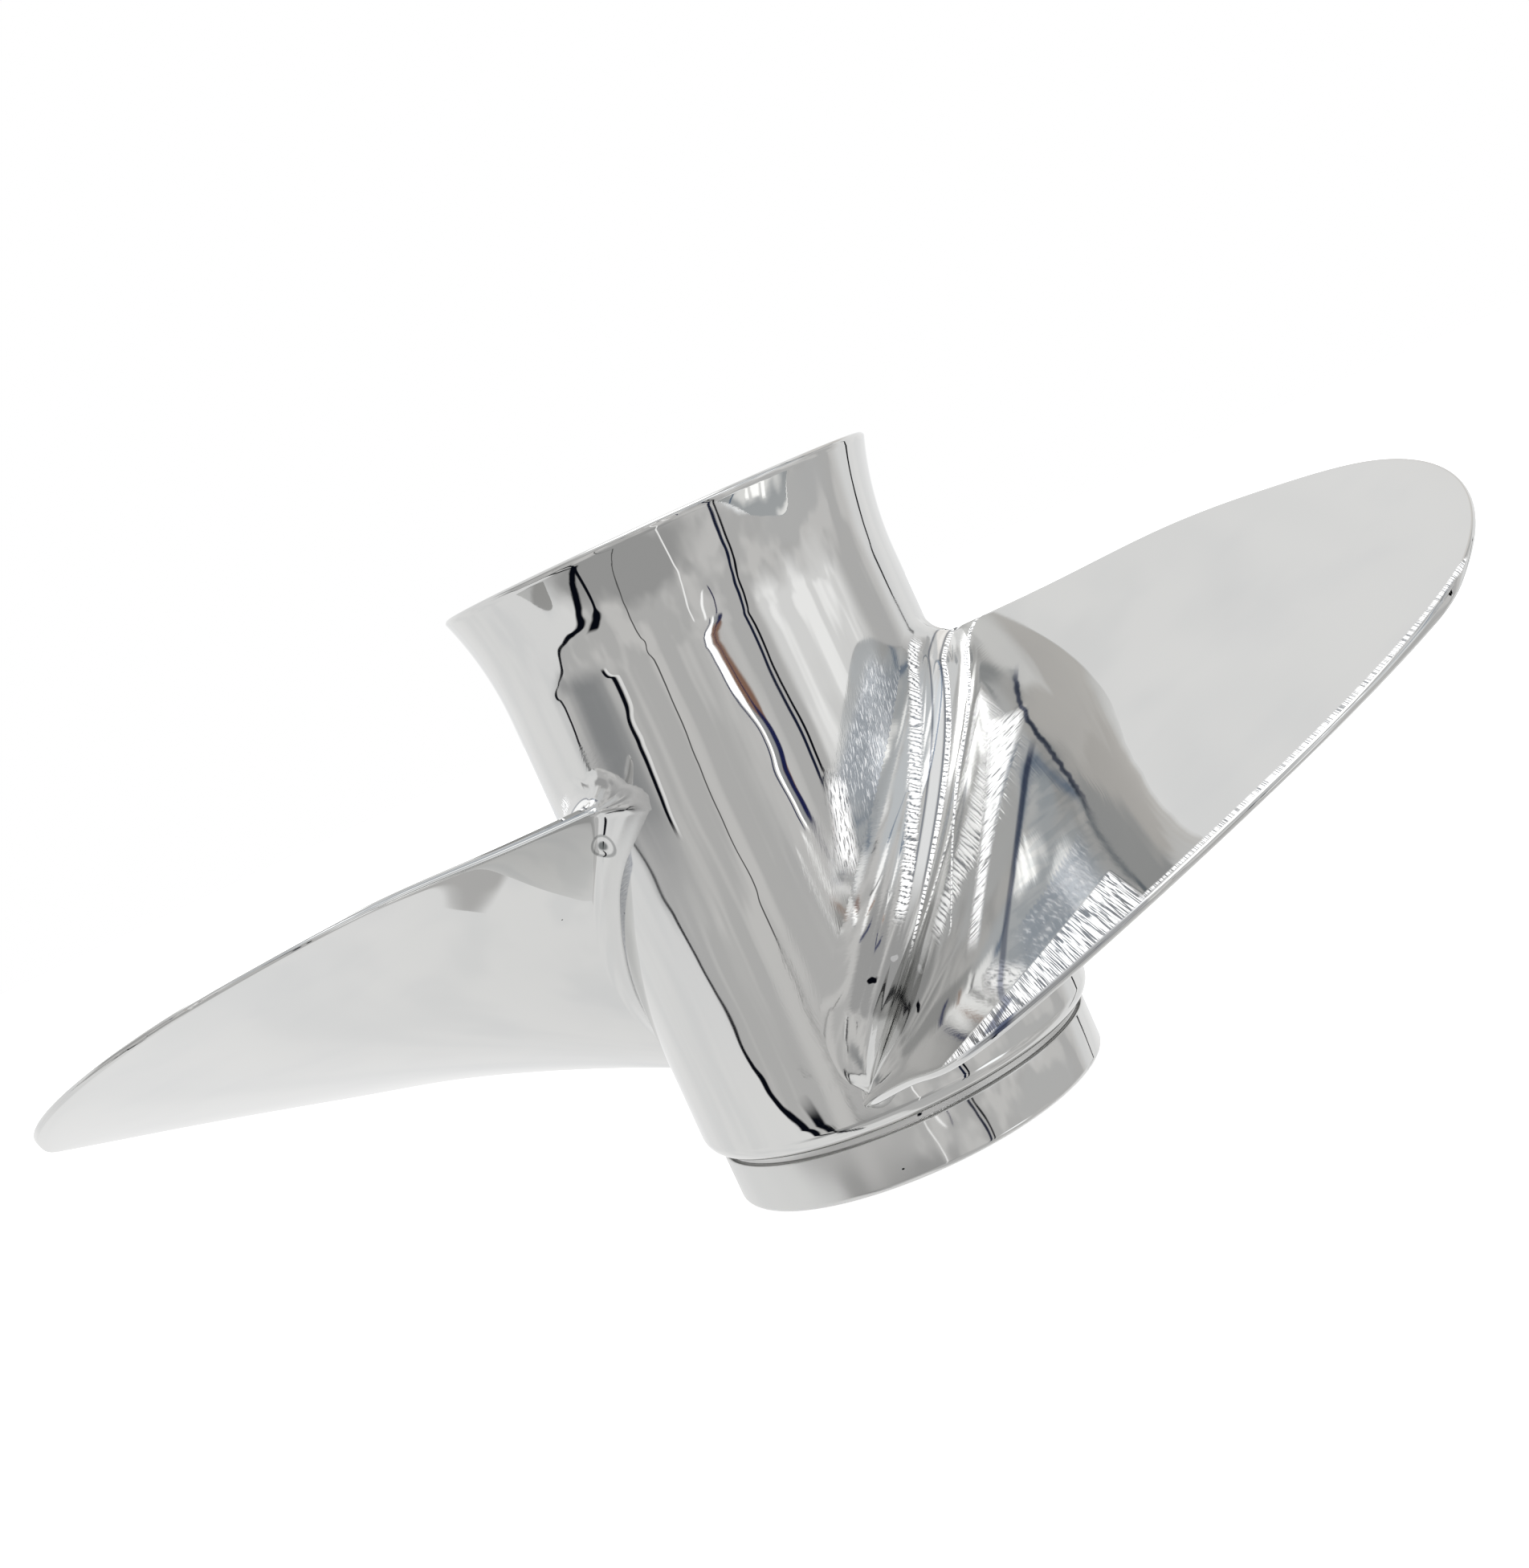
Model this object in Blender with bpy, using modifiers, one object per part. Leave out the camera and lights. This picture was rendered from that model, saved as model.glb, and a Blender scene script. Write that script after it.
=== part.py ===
"""A three-bladed stainless steel outboard propeller with its exhaust passing through the hub.

The hub's axis is +Z, towards the flared rear rim, and the propeller stands on the end face of its
front collar at z = 0. Angles run around the axis from -Y towards +X. Lengths are in metres.
"""

import math

import bmesh
import bpy
import numpy as np

GAP = 0.0003
TURN_STEPS = 72
INNER_STEPS = 48

# Outer hub: a slightly tapered barrel with a rounded front shoulder and a flared rear rim.
BARREL_FRONT_Z = 0.0156
BARREL_FRONT_RADIUS = 0.0526
SHOULDER_RADIUS = 0.0050
SHOULDER_TOP_Z = 0.0203
BARREL_LOW_RADIUS = 0.0558
BARREL_HIGH_RADIUS = 0.0546
FLARE_START_Z = 0.142
FLARE_RADIUS = 0.088
BARREL_TOP_Z = 0.1718
LIP_RADIUS = 0.0011
BORE_RADIUS = 0.0516

# Front collar: the spigot that turns inside the gearcase's exhaust outlet.
COLLAR_RADIUS = 0.0524
COLLAR_BORE_RADIUS = 0.0486
COLLAR_NECK_RADIUS = 0.0508
COLLAR_NECK_Z = 0.0136
COLLAR_EDGE_RADIUS = 0.0016

# Inner hub, its three webs, and the drive bush inside it.
INNER_HUB_RADIUS = 0.0320
INNER_HUB_BORE = 0.0263
INNER_HUB_Z = (0.0100, 0.1280)
CHAMFER = 0.0012
WEB_COUNT = 3
WEB_THICKNESS = 0.0050
WEB_Z = (0.0220, 0.1220)
FIRST_WEB_ANGLE = 30.0
BUSHING_RADIUS = 0.0260
BUSHING_Z = (0.0220, 0.1120)
SLEEVE_RADIUS = 0.0193
SLEEVE_Z = (0.0080, 0.1240)
SPLINE_COUNT = 15
SPLINE_ROOT_RADIUS = 0.0159
SPLINE_CREST_RADIUS = 0.0144

# Blades: radius, and the angles of the leading and trailing edges there, from the root to the tip.
BLADE_COUNT = 3
BLADE_TURNS = (0.0, -120.0, 120.0)
BLADE_ROOT_RADIUS = 0.0550
BLADE_TIP_RADIUS = 0.2035
LEADING_ANGLES = (-9.5, -7.6, -4.6, 0.0, 4.9, 18.8, 31.2, 39.8)
TRAILING_ANGLES = (76.2, 72.1, 70.6, 67.6, 63.9, 57.1, 48.2, 39.8)

# Rear face of the blade: the height of its helix, its pitch, how that eases off, and its rake.
ROOT_HEIGHT = 0.0374
PITCH = 0.4690
PITCH_EASING = -0.0113
PITCH_SPREAD = -0.0047
RAKE = (0.0298, -0.01455)

# Blade thickness, all of it in front of the rear face: the middle of the chord at root and tip,
# and both edges. The trailing edge has one thickness at the root and one beyond 60% of the span.
ROOT_THICKNESS = 0.0090
TIP_THICKNESS = 0.0030
LEADING_EDGE_THICKNESS = 0.0016
TRAILING_EDGE_THICKNESS = (0.0026, 0.0016)

# Root fillets: how far each spreads over the hub, and how high it climbs the blade.
REAR_FILLET = (0.0175, 0.0130)
FRONT_FILLET = (0.0060, 0.0080)
LEADING_FILLET = (0.0030, 0.0030)
TRAILING_FILLET = (0.0080, 0.0080)
ROOT_DEPTH = 0.0060

CHORD_POINTS = 13
CAP_POINTS = 3
FILLET_RINGS = 8
SPAN_RINGS = 17


def clear_scene():
    for old in list(bpy.data.objects):
        bpy.data.objects.remove(old, do_unlink=True)


def new_collection(name):
    made = bpy.data.collections.new(name)
    bpy.context.scene.collection.children.link(made)
    return made


def new_material(name, colour, metallic, roughness):
    material = bpy.data.materials.new(name)
    material.use_nodes = True
    shader = material.node_tree.nodes["Principled BSDF"]
    shader.inputs["Base Color"].default_value = (*colour, 1.0)
    shader.inputs["Metallic"].default_value = metallic
    shader.inputs["Roughness"].default_value = roughness
    material.diffuse_color = (*colour, 1.0)
    return material


def smooth(mesh, angle=35.0):
    mesh.shade_smooth()
    mesh.set_sharp_from_angle(angle=math.radians(angle))


def new_object(name, mesh, collection, material=None):
    made = bpy.data.objects.new(name, mesh)
    collection.objects.link(made)
    if material:
        mesh.materials.append(material)
    return made


def point(radius, angle, height):
    """A place at this distance from the axis; the angle runs from -Y towards +X."""
    return (radius * math.sin(angle), -radius * math.cos(angle), height)


def arc(centre, radius, start, end, steps):
    """Points (distance from the axis, height) along an arc whose angles are in degrees."""
    angles = np.radians(np.linspace(start, end, steps + 1))
    return [(centre[0] + radius * math.cos(a), centre[1] + radius * math.sin(a)) for a in angles]


def turned(name, profile, collection, material, steps=TURN_STEPS):
    """A ring made by turning a closed profile, which runs down its outer side first."""
    mesh = bpy.data.meshes.new(name)
    count = len(profile)
    edges = [(i, (i + 1) % count) for i in range(count)]
    mesh.from_pydata([(radius, 0.0, height) for radius, height in profile], edges, [])
    made = new_object(name, mesh, collection, material)
    screw = made.modifiers.new("turn", "SCREW")
    screw.axis = "Z"
    screw.angle = math.radians(360.0)
    screw.steps = steps
    screw.render_steps = steps
    screw.use_merge_vertices = True
    screw.merge_threshold = 0.00001
    screw.use_smooth_shade = True
    return made


def flare_profile(start_radius, flare_radius, top, steps):
    """The wall's flare, from its lower end up to its top."""
    centre = (start_radius + flare_radius, FLARE_START_Z)
    end = math.degrees(math.asin((top - FLARE_START_Z) / flare_radius))
    return arc(centre, flare_radius, 180.0, 180.0 - end, steps)


def outer_wall(grow=0.0):
    """The barrel's outer side from the rim down to the front edge, moved outwards by grow."""
    shoulder_centre = (BARREL_LOW_RADIUS - SHOULDER_RADIUS, SHOULDER_TOP_Z)
    sine = (BARREL_FRONT_RADIUS - shoulder_centre[0]) / SHOULDER_RADIUS
    flare = flare_profile(BARREL_HIGH_RADIUS, FLARE_RADIUS, BARREL_TOP_Z - LIP_RADIUS, 8)
    shoulder = arc(shoulder_centre, SHOULDER_RADIUS, 0.0, -math.degrees(math.acos(sine)), 5)
    wall = flare[::-1] + shoulder
    return [(radius + grow, height) for radius, height in wall]


def hub_barrel(collection, material):
    wall = outer_wall()
    rim_radius = wall[0][0]
    lip = arc((rim_radius - LIP_RADIUS, wall[0][1]), LIP_RADIUS, 180.0, 0.0, 4)[:-1]
    inner = flare_profile(BORE_RADIUS, FLARE_RADIUS * 1.04, BARREL_TOP_Z - 0.004, 7)
    profile = wall + [(BORE_RADIUS, BARREL_FRONT_Z)] + inner + lip
    return turned("hub_barrel", profile, collection, material)


def front_collar(collection, material):
    edge_centre = (COLLAR_RADIUS - COLLAR_EDGE_RADIUS, COLLAR_EDGE_RADIUS)
    neck_top = BARREL_FRONT_Z - GAP
    profile = [
        (COLLAR_NECK_RADIUS, neck_top),
        (COLLAR_NECK_RADIUS, COLLAR_NECK_Z),
        (COLLAR_RADIUS - 0.0004, COLLAR_NECK_Z),
        (COLLAR_RADIUS, COLLAR_NECK_Z - 0.0005),
        *arc(edge_centre, COLLAR_EDGE_RADIUS, 0.0, -90.0, 4),
        (COLLAR_BORE_RADIUS + 0.0005, 0.0),
        (COLLAR_BORE_RADIUS, 0.0005),
        (COLLAR_BORE_RADIUS, neck_top),
    ]
    return turned("front_collar", profile, collection, material)


def ring(name, outer, inner, heights, collection, material, chamfer=CHAMFER):
    """A plain tube with both outer edges chamfered."""
    low, high = heights
    profile = [
        (inner, high),
        (outer - chamfer, high),
        (outer, high - chamfer),
        (outer, low + chamfer),
        (outer - chamfer, low),
        (inner, low),
    ]
    return turned(name, profile, collection, material, INNER_STEPS)


def web(number, collection, material):
    """One of the plates that carry the inner hub inside the barrel."""
    inner_end = INNER_HUB_RADIUS + GAP
    outer_end = BORE_RADIUS - 2 * GAP
    length = outer_end - inner_end
    made = bmesh.new()
    bmesh.ops.create_cube(made, size=1.0)
    bmesh.ops.scale(made, vec=(length, WEB_THICKNESS, WEB_Z[1] - WEB_Z[0]), verts=made.verts)
    middle = ((inner_end + outer_end) / 2, 0.0, (WEB_Z[0] + WEB_Z[1]) / 2)
    bmesh.ops.translate(made, vec=middle, verts=made.verts)
    name = f"web_{number + 1}"
    mesh = bpy.data.meshes.new(name)
    made.to_mesh(mesh)
    made.free()
    plate = new_object(name, mesh, collection, material)
    angle = FIRST_WEB_ANGLE + number * 360.0 / WEB_COUNT
    plate.rotation_euler.z = math.radians(angle - 90.0)
    round_edges = plate.modifiers.new("rounded ends", "BEVEL")
    round_edges.width = 0.0012
    round_edges.segments = 2
    round_edges.limit_method = "ANGLE"
    return plate


def spline_outline(radius_pairs):
    """The bore's outline: flat-topped teeth, each with two corners at the crest and two at the root."""
    crest, root = radius_pairs
    pitch = 2 * math.pi / SPLINE_COUNT
    corners = []
    for tooth in range(SPLINE_COUNT):
        for part, radius in ((-0.34, root), (-0.16, crest), (0.16, crest), (0.34, root)):
            angle = (tooth + part) * pitch
            corners.append((radius * math.cos(angle), radius * math.sin(angle)))
    return corners


def add_spline(curve, points):
    line = curve.splines.new("POLY")
    line.points.add(len(points) - 1)
    for place, (x, y) in zip(line.points, points):
        place.co = (x, y, 0.0, 1.0)
    line.use_cyclic_u = True


def splined_sleeve(collection, material):
    """The drive sleeve: a tube whose bore has the shaft's splines, made from a flat outline."""
    curve = bpy.data.curves.new("splined_sleeve", "CURVE")
    curve.dimensions = "2D"
    curve.fill_mode = "BOTH"
    curve.extrude = (SLEEVE_Z[1] - SLEEVE_Z[0]) / 2
    angles = [2 * math.pi * i / INNER_STEPS for i in range(INNER_STEPS)]
    add_spline(curve, [(SLEEVE_RADIUS * math.cos(a), SLEEVE_RADIUS * math.sin(a)) for a in angles])
    add_spline(curve, spline_outline((SPLINE_CREST_RADIUS, SPLINE_ROOT_RADIUS)))
    guide = bpy.data.objects.new("sleeve_outline", curve)
    collection.objects.link(guide)
    bpy.context.view_layer.update()
    graph = bpy.context.evaluated_depsgraph_get()
    mesh = bpy.data.meshes.new_from_object(guide.evaluated_get(graph))
    bpy.data.objects.remove(guide)
    made = bmesh.new()
    made.from_mesh(mesh)
    bmesh.ops.remove_doubles(made, verts=made.verts, dist=0.00001)
    bmesh.ops.translate(made, vec=(0.0, 0.0, sum(SLEEVE_Z) / 2), verts=made.verts)
    bmesh.ops.recalc_face_normals(made, faces=made.faces)
    made.to_mesh(mesh)
    made.free()
    mesh.name = "splined_sleeve"
    mesh.materials.clear()
    return new_object("splined_sleeve", mesh, collection, material)


def even_spline(values, at):
    """A natural cubic through evenly spaced values, read at places between 0 and 1."""
    values = np.asarray(values, float)
    last = len(values) - 1
    system = np.eye(last + 1)
    right = np.zeros(last + 1)
    for i in range(1, last):
        system[i, i - 1 : i + 2] = (1.0, 4.0, 1.0)
        right[i] = 6.0 * (values[i - 1] - 2.0 * values[i] + values[i + 1])
    bend = np.linalg.solve(system, right)
    place = np.clip(np.asarray(at, float) * last, 0.0, last)
    i = np.minimum(place.astype(int), last - 1)
    b = place - i
    a = 1.0 - b
    curve = a * values[i] + b * values[i + 1]
    return curve + ((a**3 - a) * bend[i] + (b**3 - b) * bend[i + 1]) / 6.0


def station_radius(t):
    """Distance from the axis of the station t, which runs from 0 at the root to 1 at the tip."""
    return BLADE_ROOT_RADIUS + (BLADE_TIP_RADIUS - BLADE_ROOT_RADIUS) * math.sin(math.pi * t / 2)


def span_at(radius):
    """Share of the blade's span: 0 at the root and 1 at the tip."""
    span = (radius - BLADE_ROOT_RADIUS) / (BLADE_TIP_RADIUS - BLADE_ROOT_RADIUS)
    return min(max(span, 0.0), 1.0)


def station_of(radius):
    return 2 / math.pi * math.asin(span_at(radius))


def blade_height(radius, angle):
    """Height of the blade's rear face, and its slope for each radian around the axis."""
    span = (radius - BLADE_ROOT_RADIUS) / (BLADE_TIP_RADIUS - BLADE_ROOT_RADIUS)
    climb = PITCH / (2 * math.pi) + PITCH_SPREAD * span
    height = ROOT_HEIGHT + climb * angle + PITCH_EASING * angle**2
    height += RAKE[0] * span + RAKE[1] * span**2
    return height, climb + 2 * PITCH_EASING * angle


def on_section(radius, angle, along, across):
    """A point that far along the section's chord line and across it, on the cylinder of that radius."""
    height, slope = blade_height(radius, angle)
    length = math.hypot(radius, slope)
    turned_by = (along * radius + across * slope) / (length * radius)
    rise = (along * slope - across * radius) / length
    return point(radius, angle + turned_by, height + rise)


def fillet(above, reach, rise):
    """How far a root fillet still stands out at a height above the barrel."""
    left = min(max(1 - above / rise, 0.0), 1.0)
    return reach * (1 - math.sqrt(1 - left * left))


def trailing_thickness(radius):
    root, outer = TRAILING_EDGE_THICKNESS
    return root + (outer - root) * min(1.0, span_at(radius) / 0.6)


def edge_angles(radius):
    """Angles of the centres of the two rounded edges, half an edge's thickness inside the outline."""
    t = station_of(radius)
    insets = (LEADING_EDGE_THICKNESS / 2, -trailing_thickness(radius) / 2)
    ends = []
    for outline, inset in zip((LEADING_ANGLES, TRAILING_ANGLES), insets):
        angle = math.radians(float(even_spline(outline, t)))
        slope = blade_height(radius, angle)[1]
        ends.append(angle + inset / math.hypot(radius, slope))
    middle = sum(ends) / 2
    return min(ends[0], middle), max(ends[1], middle)


def section(radius):
    """One closed section: the front face, the leading edge, the rear face, the trailing edge."""
    leading, trailing = edge_angles(radius)
    middle = ROOT_THICKNESS + (TIP_THICKNESS - ROOT_THICKNESS) * span_at(radius) ** 0.7
    trailing_edge = trailing_thickness(radius)
    above = radius - BLADE_ROOT_RADIUS
    chord = np.sin(np.linspace(0.0, math.pi / 2, CHORD_POINTS)) ** 2
    ring_points = []

    def thickness(share):
        edge = LEADING_EDGE_THICKNESS + (trailing_edge - LEADING_EDGE_THICKNESS) * share
        belly = (4 * share * (1 - share)) ** 0.8
        return edge + (max(middle, edge) - edge) * belly

    def fillet_at(share, face):
        inward = min(1.0, 3.2 * math.sqrt(share * (1 - share)))
        sizes = []
        for lead, trail, full in zip(LEADING_FILLET, TRAILING_FILLET, face):
            end = lead + (trail - lead) * share
            sizes.append(end + (full - end) * inward)
        return fillet(above, *sizes)

    def edge_cap(angle, share, edge, sign):
        reach = edge / 2 + fillet_at(share, FRONT_FILLET)
        for step in range(1, CAP_POINTS + 1):
            around = math.pi * step / (CAP_POINTS + 1)
            along = -sign * reach * math.sin(around)
            across = edge / 2 + sign * reach * math.cos(around)
            ring_points.append(on_section(radius, angle, along, across))

    for share in chord[::-1]:
        angle = leading + (trailing - leading) * share
        across = thickness(share) + fillet_at(share, FRONT_FILLET)
        ring_points.append(on_section(radius, angle, 0.0, across))
    edge_cap(leading, 0.0, LEADING_EDGE_THICKNESS, 1.0)
    for share in chord:
        angle = leading + (trailing - leading) * share
        ring_points.append(on_section(radius, angle, 0.0, -fillet_at(share, REAR_FILLET)))
    edge_cap(trailing, 1.0, trailing_edge, -1.0)
    return ring_points


def blade_radii():
    """Distances of the sections from the axis: below the skin, up the fillet, and along the span."""
    quarter = np.linspace(0.0, math.pi / 2, FILLET_RINGS)
    up_fillet = [BLADE_ROOT_RADIUS + REAR_FILLET[1] * (1 - math.cos(a)) for a in quarter]
    first = station_of(up_fillet[-1])
    along = [station_radius(t) for t in np.linspace(first, 1.0, SPAN_RINGS)[1:]]
    return [BLADE_ROOT_RADIUS - ROOT_DEPTH] + up_fillet + along


def blade_mesh():
    """A loft through the blade's sections, closed at the root and at the tip."""
    made = bmesh.new()
    rings = [[made.verts.new(place) for place in section(radius)] for radius in blade_radii()]
    for below, above in zip(rings, rings[1:]):
        for i in range(len(below)):
            j = (i + 1) % len(below)
            made.faces.new((below[i], below[j], above[j], above[i]))
    made.faces.new(rings[0][::-1])
    made.faces.new(rings[-1])
    bmesh.ops.remove_doubles(made, verts=made.verts, dist=0.00002)
    bmesh.ops.recalc_face_normals(made, faces=made.faces)
    mesh = bpy.data.meshes.new("blade")
    made.to_mesh(mesh)
    made.free()
    smooth(mesh)
    return mesh


def root_cutter(collection):
    """A solid plug of the barrel's outer shape and the gap to it: it trims the blades' roots."""
    wall = outer_wall(GAP)
    profile = [(0.0, wall[0][1])] + wall + [(0.0, wall[-1][1])]
    mesh = bpy.data.meshes.new("root_cutter")
    edges = [(i, i + 1) for i in range(len(profile) - 1)]
    mesh.from_pydata([(radius, 0.0, height) for radius, height in profile], edges, [])
    cutter = new_object("root_cutter", mesh, collection)
    screw = cutter.modifiers.new("turn", "SCREW")
    screw.axis = "Z"
    screw.steps = TURN_STEPS
    screw.render_steps = TURN_STEPS
    screw.use_merge_vertices = True
    screw.merge_threshold = 0.00001
    cutter.hide_render = True
    cutter.display_type = "WIRE"
    return cutter


def blades(collection, cutter, material):
    mesh = blade_mesh()
    mesh.materials.append(material)
    for number, turn in enumerate(BLADE_TURNS):
        blade = new_object(f"blade_{number + 1}", mesh, collection)
        blade.rotation_euler.z = math.radians(turn)
        trim = blade.modifiers.new("trim to the hub", "BOOLEAN")
        trim.operation = "DIFFERENCE"
        trim.solver = "EXACT"
        trim.object = cutter


def build():
    clear_scene()
    parts = new_collection("propeller")
    cutters = new_collection("cutters")
    steel = new_material("polished_steel", (0.80, 0.80, 0.79), 1.0, 0.10)
    cast = new_material("cast_steel", (0.55, 0.55, 0.54), 1.0, 0.35)
    rubber = new_material("rubber", (0.02, 0.02, 0.02), 0.0, 0.75)
    bronze = new_material("bronze", (0.60, 0.45, 0.22), 1.0, 0.30)

    hub_barrel(parts, steel)
    front_collar(parts, steel)
    blades(parts, root_cutter(cutters), steel)
    ring("inner_hub", INNER_HUB_RADIUS, INNER_HUB_BORE, INNER_HUB_Z, parts, cast)
    for number in range(WEB_COUNT):
        web(number, parts, cast)
    ring("rubber_bushing", BUSHING_RADIUS, SLEEVE_RADIUS + GAP, BUSHING_Z, parts, rubber, 0.0008)
    splined_sleeve(parts, bronze)


build()
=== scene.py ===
# %% [markdown]
# # A polished outboard propeller
#
# The frame holds the plain solids of a three-bladed stainless steel propeller, standing on the
# end of its front collar with its axis upright. This lesson dresses that frame: each solid gets
# a finer piece in the same place, and each piece gets a finish worked out in shader nodes.
# Lengths are in metres, so a value in millimetres is written as a number times MM.

# %% Load the frame
import math

import bmesh
import bpy
import numpy as np
from mathutils import Matrix, Vector


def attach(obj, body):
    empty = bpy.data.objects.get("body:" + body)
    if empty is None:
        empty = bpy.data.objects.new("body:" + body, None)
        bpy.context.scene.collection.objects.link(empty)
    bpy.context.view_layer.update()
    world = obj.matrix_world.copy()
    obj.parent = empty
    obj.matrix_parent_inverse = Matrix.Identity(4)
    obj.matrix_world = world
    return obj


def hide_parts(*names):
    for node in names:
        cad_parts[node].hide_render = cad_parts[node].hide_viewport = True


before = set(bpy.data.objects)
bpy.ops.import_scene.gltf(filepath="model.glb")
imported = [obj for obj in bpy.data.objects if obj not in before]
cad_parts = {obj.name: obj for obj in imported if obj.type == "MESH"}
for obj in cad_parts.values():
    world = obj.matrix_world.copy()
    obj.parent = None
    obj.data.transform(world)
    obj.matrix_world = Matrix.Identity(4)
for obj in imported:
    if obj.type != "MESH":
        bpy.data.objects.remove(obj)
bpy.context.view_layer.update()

MM = 0.001
print("solids:", sorted(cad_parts))

# %% [markdown]
# ## The camera
#
# The photographer stood half a metre in front of the hub, a little above it, and held the camera
# turned, which is why the hub leans to the left in the picture. A camera at rest looks straight
# down. It is first rolled about its own line of sight, then lifted to the horizon less the angle
# that it looks down by. The lens is given by its focal length in pixels of the picture.

# %% Camera
IMAGE_HEIGHT = 1952
FOCAL_PIXELS = 2524
CAMERA_PLACE = Vector((-0.0015, -0.5317, 0.1575))
LOOK_DOWN = math.radians(6.32)
ROLL = math.radians(-24.56)

lens = bpy.data.cameras.new("camera")
lens.sensor_fit = "VERTICAL"
lens.sensor_height = 36.0
lens.lens = lens.sensor_height * FOCAL_PIXELS / IMAGE_HEIGHT
camera = bpy.data.objects.new("camera", lens)
bpy.context.collection.objects.link(camera)
lift = Matrix.Rotation(math.pi / 2 - LOOK_DOWN, 4, "X")
camera.matrix_world = Matrix.Translation(CAMERA_PLACE) @ lift @ Matrix.Rotation(ROLL, 4, "Z")
bpy.context.scene.camera = camera
bpy.context.scene.view_settings.view_transform = "Standard"
print("lens", round(lens.lens, 2), "mm")

# %% [markdown]
# ## Reckoning with sockets
#
# A shader is a graph of nodes, and most of them only do sums. The small class below wraps an
# output socket, so that a sum can be written as in Python: each operator adds its Math node.
# Every other node comes from `add`, which takes the node's type, then its settings, then the
# values or links of its sockets.

# %% A wire that Python can reckon with
class Wire:
    """An output socket of a shader graph. Sums with it add Math nodes to that graph."""

    def __init__(self, graph, socket):
        self.graph = graph
        self.socket = socket

    def math(self, operation, *others):
        """A Math node whose first value is this wire."""
        return self.graph.math(operation, self, *others)

    def __add__(self, other):
        return self.math("ADD", other)

    def __radd__(self, other):
        return self.graph.math("ADD", other, self)

    def __sub__(self, other):
        return self.math("SUBTRACT", other)

    def __rsub__(self, other):
        return self.graph.math("SUBTRACT", other, self)

    def __mul__(self, other):
        return self.math("MULTIPLY", other)

    def __rmul__(self, other):
        return self.graph.math("MULTIPLY", other, self)

    def __neg__(self):
        return self.math("MULTIPLY", -1.0)

    def __abs__(self):
        return self.math("ABSOLUTE")

    def at_most(self, other):
        return self.math("MINIMUM", other)

    def at_least(self, other):
        return self.math("MAXIMUM", other)


# %% A graph that nodes are added to
class Graph:
    """The node tree of a material or of the world."""

    def __init__(self, tree):
        self.tree = tree

    def add(self, kind, settings=None, sockets=None, output=0):
        node = self.tree.nodes.new(kind)
        for name, value in (settings or {}).items():
            setattr(node, name, value)
        for name, value in (sockets or {}).items():
            if isinstance(value, Wire):
                self.tree.links.new(value.socket, node.inputs[name])
            else:
                node.inputs[name].default_value = value
        return Wire(self, node.outputs[output]) if len(node.outputs) else None

    def math(self, operation, *values):
        return self.add("ShaderNodeMath", {"operation": operation}, dict(enumerate(values)))

    def fade(self, wire, start, end):
        """0 where the wire is below start, 1 above end, and smooth between them."""
        sockets = {"Value": wire, "From Min": start, "From Max": end}
        return self.add("ShaderNodeMapRange", {"interpolation_type": "SMOOTHSTEP"}, sockets)

    def blend(self, factor, first, second):
        """The first colour, turning into the second as the factor goes to 1."""
        settings = {"data_type": "RGBA"}
        return self.add("ShaderNodeMix", settings, {0: factor, 6: first, 7: second}, output=2)

    def blend_value(self, factor, first, second):
        """The first value, turning into the second as the factor goes to 1."""
        return self.add("ShaderNodeMix", {"data_type": "FLOAT"}, {0: factor, 2: first, 3: second})

    def noise(self, place, scale, detail, output=0):
        sockets = {"Vector": place, "Scale": scale, "Detail": detail}
        return self.add("ShaderNodeTexNoise", {}, sockets, output)

    def curve(self, wire, points):
        """A smooth curve through points (x, y), read where x is the wire. It is flat beyond its ends."""
        low, high = points[0][0], points[-1][0]
        bottom, top = min(y for x, y in points), max(y for x, y in points)
        place = self.add("ShaderNodeMapRange", {}, {"Value": wire, "From Min": low, "From Max": high})
        result = self.add("ShaderNodeFloatCurve", {}, {"Value": place})
        mapping = result.socket.node.mapping
        line = mapping.curves[0]
        spots = [((x - low) / (high - low), (y - bottom) / (top - bottom)) for x, y in points]
        line.points[0].location, line.points[1].location = spots[0], spots[-1]
        for spot in spots[1:-1]:
            line.points.new(*spot)
        mapping.update()
        return result * (top - bottom) + bottom

    def near(self, wire, centre, half, soft=0.35):
        """1 where the wire is within half of the centre, fading out over a share of that width."""
        return 1 - self.fade(abs(wire - centre), half * (1 - soft), half * (1 + soft))

    def split(self, place):
        node = self.tree.nodes.new("ShaderNodeSeparateXYZ")
        self.tree.links.new(place.socket, node.inputs[0])
        return [Wire(self, socket) for socket in node.outputs]

    def join(self, x, y, z):
        return self.add("ShaderNodeCombineXYZ", {}, {0: x, 1: y, 2: z})


print("helpers ready:", Wire.__name__, Graph.__name__)

# %% [markdown]
# ## The room
#
# A mirror has no look of its own, so the room is half of this picture. It is a white studio: the
# camera sees plain white all round, and the steel sees a soft white surround with what stands
# out in it. A thing in the room is given by the direction in which it is seen: its bearing around
# the axis, from the camera's side and positive to the right, and its height over the horizon,
# both in degrees. The barrel is a round mirror, which squeezes all that into narrow stripes down
# its length. Noise moves the bearings a little, so that no line is quite straight.

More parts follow.
